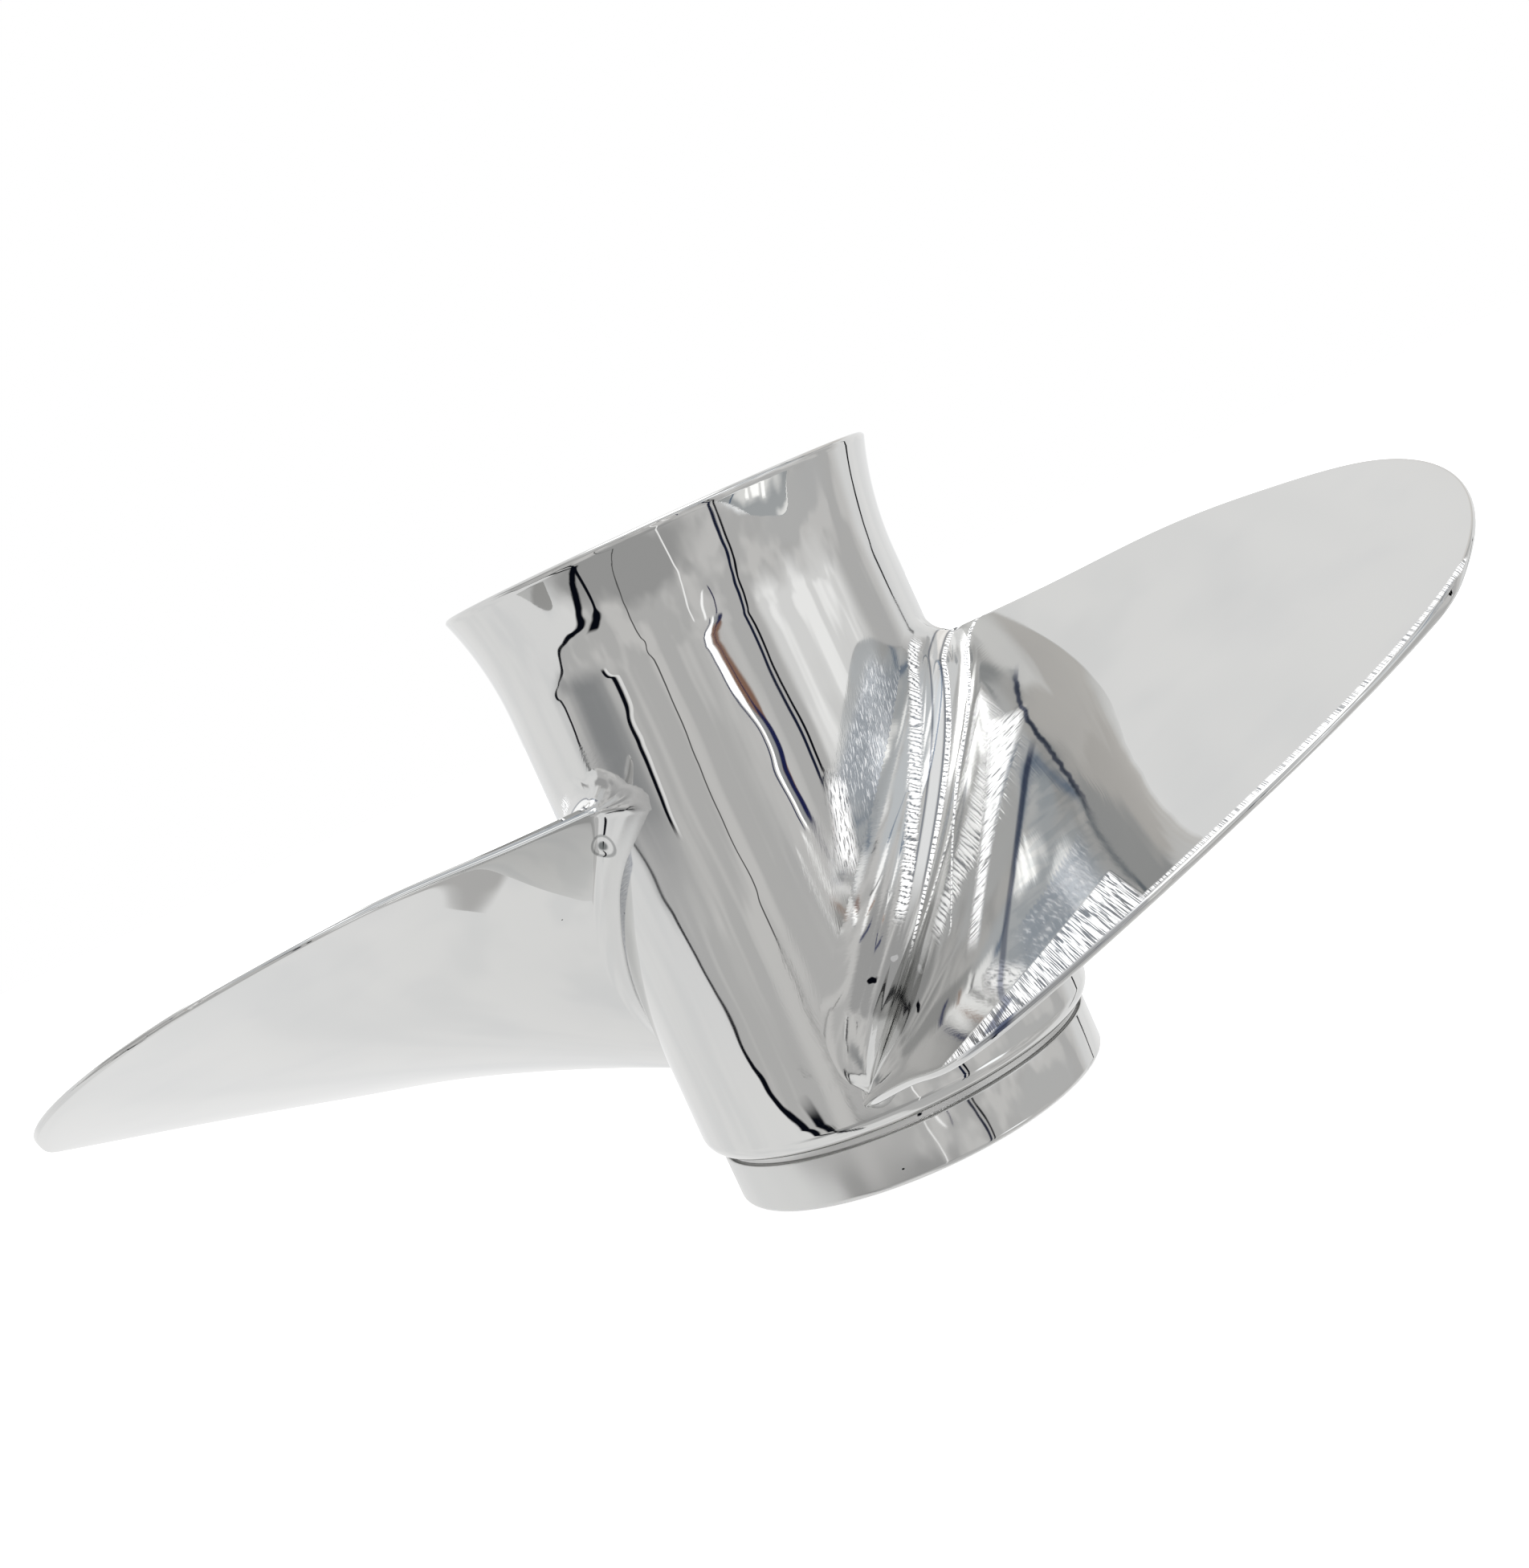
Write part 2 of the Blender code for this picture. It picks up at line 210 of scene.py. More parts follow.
# %% World
world = bpy.data.worlds.new("studio")
bpy.context.scene.world = world
world.use_nodes = True
world.node_tree.nodes.clear()
room = Graph(world.node_tree)
ray = room.add("ShaderNodeTexCoord", output="Generated")
ray_x, ray_y, ray_z = room.split(ray)
LINE_WANDER = 5.0
OVAL_WANDER = (14.0, 12.0)
wander = room.split(room.noise(ray, 4.5, 2.0, output=1))
to_degrees = 180.0 / math.pi
bearing = ray_x.math("ARCTAN2", -ray_y) * to_degrees + (wander[0] - 0.5) * LINE_WANDER
height = ray_z.math("ARCSINE") * to_degrees
spot_bearing = bearing + (wander[0] - 0.5) * OVAL_WANDER[0]
spot = room.join(spot_bearing, height + (wander[1] - 0.5) * OVAL_WANDER[1], 0.0)


def tone(level, warmth=0.0):
    """A grey of that brightness, warmer where warmth is above 0 and bluer below."""
    return (level * (1 + warmth), level, level * (1 - warmth), 1.0)


WHITE = tone(1.0)
BLACK = (0.003, 0.004, 0.008, 1.0)


def blob(bearing_at, height_at, half_across, half_up, turn=0.0, soft=0.3):
    """A mask for an oval in the room, with an uneven edge."""
    sockets = {"Vector": spot, "Location": (bearing_at, height_at, 0.0)}
    sockets |= {"Rotation": (0.0, 0.0, math.radians(turn)), "Scale": (half_across, half_up, 1.0)}
    inside = room.add("ShaderNodeMapping", {"vector_type": "TEXTURE"}, sockets)
    size = room.add("ShaderNodeVectorMath", {"operation": "LENGTH"}, {0: inside}, output=1)
    return 1 - room.fade(size, 1 - soft, 1 + soft)


def stripe(points, half, shift=0.0):
    """A mask for a line that runs up the room through points (height, bearing)."""
    low, high = points[0][0], points[-1][0]
    ends = room.fade(height, low, low + 1.0) * (1 - room.fade(height, high - 1.0, high))
    return room.near(bearing, room.curve(height, points) + shift, half) * ends


# %% [markdown]
# What stands in the room is put up from the back forwards: the dim side where the photographer
# stands, with its wavy left border, the window, patches of light and shade given as ovals, and
# last the narrow lines of frames and of a door. A lamp hangs overhead. Hardly any smooth part of
# the steel mirrors it, only the small facets that the grinder left, which makes them sparkle.
#
# One long chain of colours for the whole room would be worked out for every ray, which is slow. So
# each thing says within which bearings and heights it can be seen, and the room is cut into cells,
# each with a short chain of its own. A Mix Shader whose factor is exactly 0 or 1 only works out
# one of its sides, so a ray pays for one cell. In the same way only mirrored rays pay for the room:
# the camera and all that scatters light see plain white, which lights the studio.

# %% Putting things up
OVAL_EDGE = 1.3
OVAL_MARGIN = (8, 7)
TURNED_OVAL_MARGIN = (8, 14)
LINE_MARGIN = 5
things = []


def put(mask, colour, bearings, heights):
    """Puts a thing up in front of those before it. The ranges are where it can be seen."""
    things.append((mask, colour, bearings, heights))


def put_oval(place, level, warmth=0.0):
    bearing_at, height_at, half_across, half_up = place[:4]
    margin = TURNED_OVAL_MARGIN if len(place) > 4 else OVAL_MARGIN
    across, up = half_across * OVAL_EDGE + margin[0], half_up * OVAL_EDGE + margin[1]
    ranges = (bearing_at - across, bearing_at + across), (height_at - up, height_at + up)
    put(blob(*place), tone(level, warmth), *ranges)


def put_stripe(points, half, shift, colour):
    bearings = [bearing_at + shift for height_at, bearing_at in points]
    ranges = (min(bearings) - LINE_MARGIN, max(bearings) + LINE_MARGIN), (points[0][0], points[-1][0])
    put(stripe(points, half, shift), colour, *ranges)


# %% What stands in the room
BORDER = ((-60, -12), (-53, -15), (-40, -34), (-32, -47), (-20, -58), (-16, -61.5), (-14.5, -67),
          (-13, -73), (-11, -80), (-9, -82), (-7, -84), (-5, -89), (-3, -94), (-1.5, -92), (4, -90),
          (20, -88))
border = room.curve(height, BORDER)
dim_side = room.fade(bearing - border, 0.0, 2.5) * (1 - room.fade(bearing, 112.0, 121.0))
dim_side = dim_side * (1 - room.fade(height, 62.0, 72.0))
dim_tone = room.blend(room.fade(wander[1], 0.42, 0.6), tone(0.60, 0.005), tone(0.74, 0.01))
put(dim_side, dim_tone, (-98, 124), (-90, 73))
window = room.fade(bearing, 31.0, 36.0) * (1 - room.fade(bearing, 78.0, 94.0))
window_sill = height + (wander[2] - 0.5) * 12.0
window = window * room.fade(window_sill, -13.0, -3.0) * (1 - room.fade(height, 2.0, 8.0))
panes = room.blend(room.fade(wander[0], 0.46, 0.56), tone(1.18), tone(0.94))
put(window, panes, (30, 95), (-20, 9))
PATCHES = (
    ((-25, -28, 42, 9), 0.43, 0.0),
    ((77, -18, 26, 5), 0.62, 0.0),
    ((50, -31, 13, 5), 1.5, -0.02),
    ((-73, -2, 15, 3.6, 0, 0.8), 0.34, -0.02),
    ((0, -46, 50, 12), 0.6, 0.0),
    ((25, -68, 38, 15), 0.62, 0.0),
    ((168, -59, 14, 5), 0.58, 0.01),
    ((-30, 17, 30, 8), 0.45, 0.0),
    ((-75, 34, 30, 11), 0.45, 0.0),
    ((45, 19, 42, 12), 0.74, -0.04),
    ((3, 13, 13, 3.5, 8), 1.45, 0.0),
    ((64, 22, 11, 3.2, 6), 1.6, 0.0),
    ((68, 37, 17, 8, 10), 0.68, -0.05),
    ((42, 31, 15, 5), 1.5, 0.0),
    ((0, 52, 60, 13), 0.74, -0.01),
    ((77, 50, 32, 9, 20), 0.86, -0.01),
    ((130, 34, 36, 10, -12), 0.84, 0.025),
    ((133, 28, 34, 4), 0.76, 0.03),
    ((109, 24, 19, 3.5), 0.55, -0.01),
    ((97, 56, 9, 4), 0.5, -0.03),
    ((122, 52, 14, 8), 1.15, 0.0),
)
for place, level, warmth in PATCHES:
    put_oval(place, level, warmth)
lamp_glow = room.blend(room.fade(wander[0], 0.45, 0.55), tone(5.0), tone(2.0))
put(room.fade(height, 68.0, 75.0), lamp_glow, (-180, 180), (68, 90))
print("behind the lines stand", len(things), "things")

# %% Frames, the door and other lines
LEFT_FRAME = ((-5.6, -58.5), (-4, -57.5), (-3, -56), (-2, -53.5), (-1, -53.5), (4, -50))
FAR_FRAME = ((-34, -23), (-31, -25), (-19, -32), (-9, -32), (-7, -30.5), (-5, -31), (-3, -30), (1, -29))
WINDOW_FRAME = ((-42, 33), (-28, 32), (-16, 30), (-8, 27.5), (-4, 26), (-2.5, 25.3), (2, 28))
DOOR = ((-6.4, 10.5), (-5, 9.5), (-4, 7.5), (-3, 5.3), (-2, 3.8), (-1, 1.5), (0.6, 0))
HOOK = ((-62, -50), (-48, -48), (-32, -47), (-20, -48), (-15.5, -52), (-13.5, -60))
BRIGHT_LINE = ((-34, 1), (-22, 1), (-11, -1), (-6.5, -1))
RIGHT_FRAME = ((-32, 131), (-12, 129), (-8.8, 127.5), (-3.9, 126), (-1.8, 123), (3, 120))
brown = room.curve(height, ((-5.6, 0.1), (-4.4, 1.1), (-2.8, 3.0), (-1.4, 2.2), (0.0, 0.5)))
white = room.curve(height, ((-6.4, 0.2), (-4.0, 0.8), (-2.0, 1.6), (-0.5, 1.3), (0.6, 0.6)))
blue = room.curve(height, ((-7.5, 0.3), (-5.6, 1.3), (-4.4, 1.0), (-3.0, 0.3), (0.0, 0.3)))
width = room.curve(height, (
    (-34, 2.4), (-29, 2.0), (-19, 1.7), (-16, 2.4), (-13.5, 2.2), (-11.5, 1.2), (-8, 0.7), (20, 0.8)))
hook_half = room.curve(height, ((-62, 3.2), (-38, 3.2), (-31, 1.0), (-20, 0.8), (-17, 2.8), (-13, 2.8)))
edge_line = room.near(bearing, border + width, width) * (1 - room.fade(height, 0.0, 6.0))
put(edge_line * room.fade(height, -36.0, -33.0), BLACK, (-100, 14), (-36, 6))
LINES = (
    (HOOK, hook_half, 0.0, BLACK),
    (LEFT_FRAME, 1.1, 0.0, BLACK),
    (LEFT_FRAME, 0.7, 2.3, tone(1.0)),
    (BRIGHT_LINE, 0.4, 0.0, tone(1.2)),
    (FAR_FRAME, 0.35, 0.0, tone(0.12)),
    (WINDOW_FRAME, 0.8, -1.3, (0.01, 0.015, 0.04, 1.0)),
    (WINDOW_FRAME, 0.55, 1.3, BLACK),
    (DOOR, 2.0, 1.0, tone(0.42, -0.02)),
    (DOOR, brown, 2.8, (0.30, 0.17, 0.12, 1.0)),
    (DOOR, white, -1.4, tone(2.2)),
    (DOOR, 0.4, -3.4, (0.05, 0.06, 0.12, 1.0)),
    (DOOR, blue, 2.6, (0.015, 0.02, 0.09, 1.0)),
    (RIGHT_FRAME, 0.9, 0.0, BLACK),
    (((-14, 9), (-12, 6.5), (-5.6, 4.5)), 0.6, 0.0, tone(1.4)),
    (((-14.5, 12), (-11, 12.5), (-5.6, 10)), 0.4, 0.0, (0.03, 0.03, 0.09, 1.0)),
    (((26, 36), (38, 33)), 0.9, 0.0, tone(2.3)),
    (((26, 41), (38, 38)), 2.2, 0.0, tone(2.3)),
    (((25, 46), (38, 44)), 1.2, 0.0, tone(2.3)),
    (((9, -6), (12, -5), (16, -7)), 0.8, 0.0, (0.40, 0.25, 0.18, 1.0)),
    (((8, -1), (13, 0), (19, -2)), 0.9, 0.0, tone(1.5)),
    (((7, 5), (12, 3), (17, 5)), 0.8, 0.0, BLACK),
    (((7, -14), (12, -16), (18, -17)), 1.3, 0.0, (0.02, 0.03, 0.12, 1.0)),
)
for points, half, shift, colour in LINES:
    put_stripe(points, half, shift, colour)
DARK_FRAME = ((14, 15), (20, 17), (33, 38.5), (52, 42), (73, 40.5), (90, 31), (98, 27))
frame_line = room.near(height, room.curve(bearing, DARK_FRAME), 1.5) * room.fade(bearing, 14.0, 18.0)
frame_line = frame_line * (1 - room.fade(bearing, 92.0, 98.0))
put(frame_line, (0.20, 0.27, 0.38, 1.0), (13, 99), (12, 45))
POST = ((20, 88), (26, 95), (32, 95.5), (39, 94), (46, 104), (52, 116))
put_stripe(POST, 1.6, 0.0, (0.22, 0.25, 0.28, 1.0))
print("with the lines there are", len(things), "things")

# %% The cells of the room
HEIGHT_LIMITS = (-37.0, -11.5, 7.0, 27.0, 46.0)
BEARING_LIMITS = (-100.0, -42.0, -12.0, 22.0, 60.0, 100.0)
STUDIO_LIGHT = tone(1.6)
white_wall = room.blend(room.fade(wander[2], 0.4, 0.66), tone(0.97), tone(0.92, -0.005))


def overlap(one, other):
    return one[0] < other[1] and one[1] > other[0]


def cell(bearings, heights):
    """One cell of the room, with the things that can be seen in it."""
    colour = white_wall
    for mask, shade, across, up in things:
        if overlap(across, bearings) and overlap(up, heights):
            colour = room.blend(mask, colour, shade)
    return room.add("ShaderNodeBackground", {}, {"Color": colour})


def choose(wire, limits, shaders):
    """The shader of the range that the wire lies in, found by halving the limits."""
    if len(shaders) == 1:
        return shaders[0]
    half = len(shaders) // 2
    above = wire.math("GREATER_THAN", limits[half - 1])
    lower = choose(wire, limits[: half - 1], shaders[:half])
    upper = choose(wire, limits[half:], shaders[half:])
    return room.add("ShaderNodeMixShader", {}, {0: above, 1: lower, 2: upper})


def ranges_of(limits, lowest, highest):
    ends = (lowest, *limits, highest)
    return list(zip(ends, ends[1:]))


bands = []
for heights in ranges_of(HEIGHT_LIMITS, -90.0, 90.0):
    row = [cell(bearings, heights) for bearings in ranges_of(BEARING_LIMITS, -185.0, 185.0)]
    bands.append(choose(bearing, BEARING_LIMITS, row))
for_steel = choose(height, HEIGHT_LIMITS, bands)
mirrored = room.add("ShaderNodeLightPath", output="Is Glossy Ray")
seen = room.add("ShaderNodeLightPath", output="Is Camera Ray")
plain = room.add("ShaderNodeBackground", {}, {"Color": room.blend(seen, STUDIO_LIGHT, WHITE)})
both = room.add("ShaderNodeMixShader", {}, {0: mirrored, 1: plain, 2: for_steel})
room.add("ShaderNodeOutputWorld", {}, {"Surface": both})
print("world nodes:", len(room.tree.nodes), "for", len(things), "things")

# %% [markdown]
# ## The floor
#
# The propeller stands on a plain white floor. A floor that glows a little reads as white as the
# surround, so no horizon shows, and only a trace of shadow is left where the collar stands. The
# steel doesn't see this floor: a studio would hang the piece clear of it, and the mirror keeps
# the white room below it too.

# %% Floor
FLOOR_RADIUS = 3.0


def deselect_all():
    if bpy.context.mode != "OBJECT":
        bpy.ops.object.mode_set(mode="OBJECT")
    bpy.ops.object.select_all(action="DESELECT")


def new_material(name):
    """A material with an empty graph, ready for its nodes."""
    material = bpy.data.materials.new(name)
    material.use_nodes = True
    material.node_tree.nodes.clear()
    return material, Graph(material.node_tree)


deselect_all()
bpy.ops.mesh.primitive_circle_add(vertices=96, radius=FLOOR_RADIUS, fill_type="NGON")
floor = bpy.context.active_object
floor.name = "floor"
white_floor, graph = new_material("white_floor")
sockets = {"Base Color": (0.9, 0.9, 0.9, 1.0), "Roughness": 0.9, "Specular IOR Level": 0.0}
sockets |= {"Emission Color": WHITE, "Emission Strength": 0.6}
shader = graph.add("ShaderNodeBsdfPrincipled", {}, sockets)
graph.add("ShaderNodeOutputMaterial", {}, {"Surface": shader})
floor.data.materials.append(white_floor)
floor.visible_glossy = False
print("floor radius", FLOOR_RADIUS, "m")

# %% [markdown]
# ## Modelling by hand, in code
#
# Each step that a hand would make is one operator: start an outline from a single vertex, extrude
# it from point to point, spin it round the axis, merge what meets, and turn the faces outwards.
# The helpers below name those steps. Every object stays at the origin, with its place in its mesh.

# %% Helpers for outlines
def take_new(name):
    """Names the piece that a primitive operator has just added."""
    piece = bpy.context.active_object
    piece.name = name
    piece.data.name = name
    return piece


def draw_outline(name, points):
    """A chain of edges: one vertex, extruded from point to point. It stays in edit mode."""
    deselect_all()
    bpy.ops.mesh.primitive_plane_add(size=MM)
    piece = take_new(name)
    bpy.ops.object.mode_set(mode="EDIT")
    bpy.ops.mesh.select_all(action="SELECT")
    bpy.ops.mesh.merge(type="CENTER")
    bpy.ops.transform.translate(value=points[0])
    for start, end in zip(points, points[1:]):
        step = Vector(end) - Vector(start)
        bpy.ops.mesh.extrude_region_move(TRANSFORM_OT_translate={"value": step})
    return piece


def arc(centre, radius, start, end, steps):
    """Points (distance from the axis, height) along an arc whose angles are in degrees."""
    angles = np.radians(np.linspace(start, end, steps + 1))
    return [(centre[0] + radius * math.cos(a), centre[1] + radius * math.sin(a)) for a in angles]


def straight(start, end, steps):
    """Points that divide a straight stretch, without its last end."""
    shares = [step / steps for step in range(steps)]
    return [(start[0] + (end[0] - start[0]) * s, start[1] + (end[1] - start[1]) * s) for s in shares]


print("ready to draw:", draw_outline.__name__)


# %% Helpers for turned pieces
def close_mesh():
    """In edit mode: merges what meets and turns the faces outwards."""
    bpy.ops.mesh.select_all(action="SELECT")
    bpy.ops.mesh.remove_doubles(threshold=0.01 * MM)
    bpy.ops.mesh.normals_make_consistent(inside=False)
    bpy.ops.object.mode_set(mode="OBJECT")


def spin_profile(name, profile, steps):
    """A turned piece: a closed profile of (distance from the axis, height), spun all the way round."""
    points = [(radius, 0.0, height) for radius, height in profile]
    piece = draw_outline(name, points + points[:1])
    bpy.ops.mesh.select_all(action="SELECT")
    bpy.ops.mesh.spin(steps=steps, angle=math.tau, center=(0, 0, 0), axis=(0, 0, 1))
    close_mesh()
    return piece


print("ready to turn:", spin_profile.__name__)

# %% The end of each piece
dressed = []


def finish_piece(piece, slot, nodes, crease=32.0):
    """Shades the piece, lets it ride with the frame, hides the solids it stands for and keeps its slot.
    """
    deselect_all()
    bpy.context.view_layer.objects.active = piece
    piece.select_set(True)
    bpy.ops.object.shade_smooth_by_angle(angle=math.radians(crease))
    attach(piece, "root")
    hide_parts(*nodes)
    dressed.append((piece, slot))
    piece.data.calc_loop_triangles()
    print(f"{piece.name}: {len(piece.data.loop_triangles)} triangles")


print("ready to finish:", finish_piece.__name__)


# %% [markdown]
# ## The hub barrel
#
# The barrel is the outer hub: a tube that tapers by a millimetre, with a shoulder turned round
# its front end and a flare at the rear, whose rim is ground to a thin rounded lip. A lathe made
# it, so its profile is drawn once and spun. A mirror shows every flat, so the spin has many
# steps, and the straight stretch is divided so that its points can carry the ground zones later.

# %% Barrel
BARREL_FRONT_Z = 15.6 * MM
BARREL_FRONT_RADIUS = 52.6 * MM
SHOULDER_RADIUS = 5.0 * MM
SHOULDER_TOP_Z = 20.3 * MM
BARREL_LOW_RADIUS = 55.8 * MM
BARREL_HIGH_RADIUS = 54.6 * MM
FLARE_START_Z = 142.0 * MM
FLARE_RADIUS = 88.0 * MM
BARREL_TOP_Z = 171.8 * MM
LIP_RADIUS = 1.1 * MM
BORE_RADIUS = 51.6 * MM
TURN_STEPS = 288


def flare(start_radius, flare_radius, top, steps):
    """The rear flare of a wall, from its lower end up."""
    end = math.degrees(math.asin((top - FLARE_START_Z) / flare_radius))
    return arc((start_radius + flare_radius, FLARE_START_Z), flare_radius, 180.0, 180.0 - end, steps)


shoulder_centre = (BARREL_LOW_RADIUS - SHOULDER_RADIUS, SHOULDER_TOP_Z)
shoulder_end = -math.degrees(math.acos((BARREL_FRONT_RADIUS - shoulder_centre[0]) / SHOULDER_RADIUS))
outer_flare = flare(BARREL_HIGH_RADIUS, FLARE_RADIUS, BARREL_TOP_Z - LIP_RADIUS, 24)[::-1]
shoulder = arc(shoulder_centre, SHOULDER_RADIUS, 0.0, shoulder_end, 14)
inner_flare = flare(BORE_RADIUS, FLARE_RADIUS * 1.04, BARREL_TOP_Z - 4 * MM, 18)
lip_centre = (outer_flare[0][0] - LIP_RADIUS, outer_flare[0][1])
lip = arc(lip_centre, LIP_RADIUS, 200.0, 0.0, 14)[:-1]
front_edge = [(BARREL_FRONT_RADIUS - 0.3 * MM, BARREL_FRONT_Z), (BORE_RADIUS + 0.3 * MM, BARREL_FRONT_Z)]
bore = straight((BORE_RADIUS, BARREL_FRONT_Z + 0.3 * MM), inner_flare[0], 20)
wall = outer_flare[:-1] + straight(outer_flare[-1], shoulder[0], 56) + shoulder
barrel = spin_profile("barrel", wall + front_edge + bore + inner_flare + lip, TURN_STEPS)
finish_piece(barrel, "polished_steel", ["hub_barrel"])
print("barrel height", round(barrel.dimensions.z / MM, 1), "mm")

# %% [markdown]
# ## The front collar
#
# Below the shoulder the hub steps in to a narrow neck, which shows as a dark line, and out again
# to the collar that runs inside the gearcase. Its foot has a rounded edge. It is one more turned
# piece, so it is drawn and spun in the same way.

# %% Collar
COLLAR_RADIUS = 52.4 * MM
COLLAR_BORE_RADIUS = 48.6 * MM
NECK_RADIUS = 50.8 * MM
NECK_Z = 13.6 * MM
COLLAR_EDGE = 1.6 * MM
CORNER = 0.4 * MM

collar_profile = [(NECK_RADIUS, BARREL_FRONT_Z), (NECK_RADIUS, NECK_Z + CORNER)]
collar_profile += arc((NECK_RADIUS + CORNER, NECK_Z + CORNER), CORNER, 180.0, 270.0, 5)
collar_profile += arc((COLLAR_RADIUS - CORNER, NECK_Z - CORNER), CORNER, 90.0, 0.0, 6)
collar_profile += arc((COLLAR_RADIUS - COLLAR_EDGE, COLLAR_EDGE), COLLAR_EDGE, 0.0, -90.0, 12)
collar_profile += arc((COLLAR_BORE_RADIUS + CORNER, CORNER), CORNER, -90.0, -180.0, 5)
collar_profile += [(COLLAR_BORE_RADIUS, BARREL_FRONT_Z)]
collar = spin_profile("collar", collar_profile, TURN_STEPS)
finish_piece(collar, "polished_steel", ["front_collar"])

# %% [markdown]
# ## A blade
#
# A blade is a helical sheet, and that sheet is its rear face, which pushes the water. All of the
# thickness lies in front of it. On a cylinder around the axis the section is an aerofoil that is
# flat behind, with a rounded leading edge, a thick middle and a blunt trailing edge. Lofts like
# this have no operator of their own. A grid is added instead, and each of its points is moved to
# its place on the section that it belongs to: across the grid lies the way round the section, and
# up the grid lies the way from the root to the tip. Then the seam is merged and the root filled.

# %% Blade dimensions
BLADE_ROOT = 55.0 * MM
BLADE_TIP = 203.35 * MM
LEADING_ANGLES = (-9.5, -7.6, -4.6, 0.0, 4.9, 18.8, 31.2, 39.8)
TRAILING_ANGLES = (76.2, 72.1, 70.6, 67.6, 63.9, 57.1, 48.2, 39.8)
ROOT_HEIGHT = 37.4 * MM
PITCH = 469.0 * MM
PITCH_EASING = -11.3 * MM
PITCH_SPREAD = -4.7 * MM
RAKE = (29.8 * MM, -14.55 * MM)
ROOT_THICKNESS = 9.0 * MM
TIP_THICKNESS = 3.0 * MM
LEADING_EDGE = 1.6 * MM
TRAILING_EDGE = (2.6 * MM, 1.6 * MM)


def even_spline(values, at):
    """A natural cubic through evenly spaced values, read at places between 0 and 1."""
    values = np.asarray(values, float)
    last = len(values) - 1
    system = np.eye(last + 1)
    right = np.zeros(last + 1)
    for i in range(1, last):
        system[i, i - 1 : i + 2] = (1.0, 4.0, 1.0)
        right[i] = 6.0 * (values[i - 1] - 2.0 * values[i] + values[i + 1])
    bend = np.linalg.solve(system, right)
    place = np.clip(np.asarray(at, float) * last, 0.0, last)
    i = np.minimum(place.astype(int), last - 1)
    b = place - i
    a = 1.0 - b
    curve = a * values[i] + b * values[i + 1]
    return curve + ((a**3 - a) * bend[i] + (b**3 - b) * bend[i + 1]) / 6.0


def station_radius(t):
    """Distance from the axis of the station t, which runs from 0 at the root to 1 at the tip."""
    return BLADE_ROOT + (BLADE_TIP - BLADE_ROOT) * np.sin(np.pi * t / 2)


def station_of(radius):
    return 2 / np.pi * np.arcsin(np.clip((radius - BLADE_ROOT) / (BLADE_TIP - BLADE_ROOT), 0.0, 1.0))


def blade_height(radius, angle):
    """Height of the blade's rear face, and its slope for each radian around the axis."""
    span = (radius - BLADE_ROOT) / (BLADE_TIP - BLADE_ROOT)
    climb = PITCH / (2 * np.pi) + PITCH_SPREAD * span
    rise = ROOT_HEIGHT + climb * angle + PITCH_EASING * angle**2 + RAKE[0] * span + RAKE[1] * span**2
    return rise, climb + 2 * PITCH_EASING * angle


def wall_radius(z):
    """Outside radius of the barrel at a height: shoulder, taper and flare."""
    heights = [height for radius, height in wall][::-1]
    radii = [radius for radius, height in wall][::-1]
    return np.interp(z, heights, radii)


print("blade radius", BLADE_TIP / MM, "mm, pitch", PITCH / MM, "mm")

# %% [markdown]
# ### The section and its root fillet
#
# Where the blade grows out of the barrel, the foundry left a fillet, and a hand grinder cleaned
# it. It is wide behind the blade, where the grinder left three hollow lanes with sharp ridges
# between them, and small in front, where it ends in a ledge at the trailing edge. Each point of
# the section is pushed out along the section's own normal by what the fillet still stands out at
# that height. The rows below the barrel's skin run on level for a millimetre before they turn in,
# so that the joint can't be seen.

# %% Columns and fillets
REAR_FILLET = (17.5 * MM, 13.0 * MM)
FRONT_FILLET = (3.5 * MM, 5.0 * MM)
LEADING_FILLET = (3.0 * MM, 3.0 * MM)
TRAILING_FILLET = (8.0 * MM, 8.0 * MM)
LEDGE = 4.0 * MM
LANES = (0.0, 0.35, 0.6, 1.0)
LANE_DEPTH = 0.22 * MM
SINK = 0.006 * MM
INSET = 0.30 * MM
NOSE_STEPS = 12
FACE_STEPS = 88
FILLET_ROWS = 41
SPAN_ROWS = 100
BELOW_SKIN = ((-2.2 * MM, 1.2 * MM), (-0.05 * MM, 1.2 * MM), (-0.02 * MM, 0.5 * MM))


def smooth_step(x, start, end):
    t = np.clip((x - start) / (end - start), 0.0, 1.0)
    return t * t * (3 - 2 * t)


def nose(distance, reach):
    """The rounding of an edge: 0 at the edge and 1 from reach inwards, along a quarter ellipse."""
    return np.sqrt(1 - (1 - np.clip(distance / reach, 0.0, 1.0)) ** 2)


def grid_columns():
    """The columns of the grid: which face each is on, and its place between the two edges."""
    half = NOSE_STEPS + FACE_STEPS + NOSE_STEPS
    number = np.arange(-half, half + 1)
    side = np.where(number < 0, 1.0, -1.0)
    lead_nose = np.clip(abs(number) / NOSE_STEPS, 0.0, 1.0)
    trail_nose = np.clip((half - abs(number)) / NOSE_STEPS, 0.0, 1.0)
    flat = np.clip((abs(number) - NOSE_STEPS) / FACE_STEPS, 0.0, 1.0)
    face = 0.5 * flat + 0.5 * np.sin(flat * np.pi / 2) ** 2
    return side, face, 1 - np.cos(lead_nose * np.pi / 2), 1 - np.cos(trail_nose * np.pi / 2)


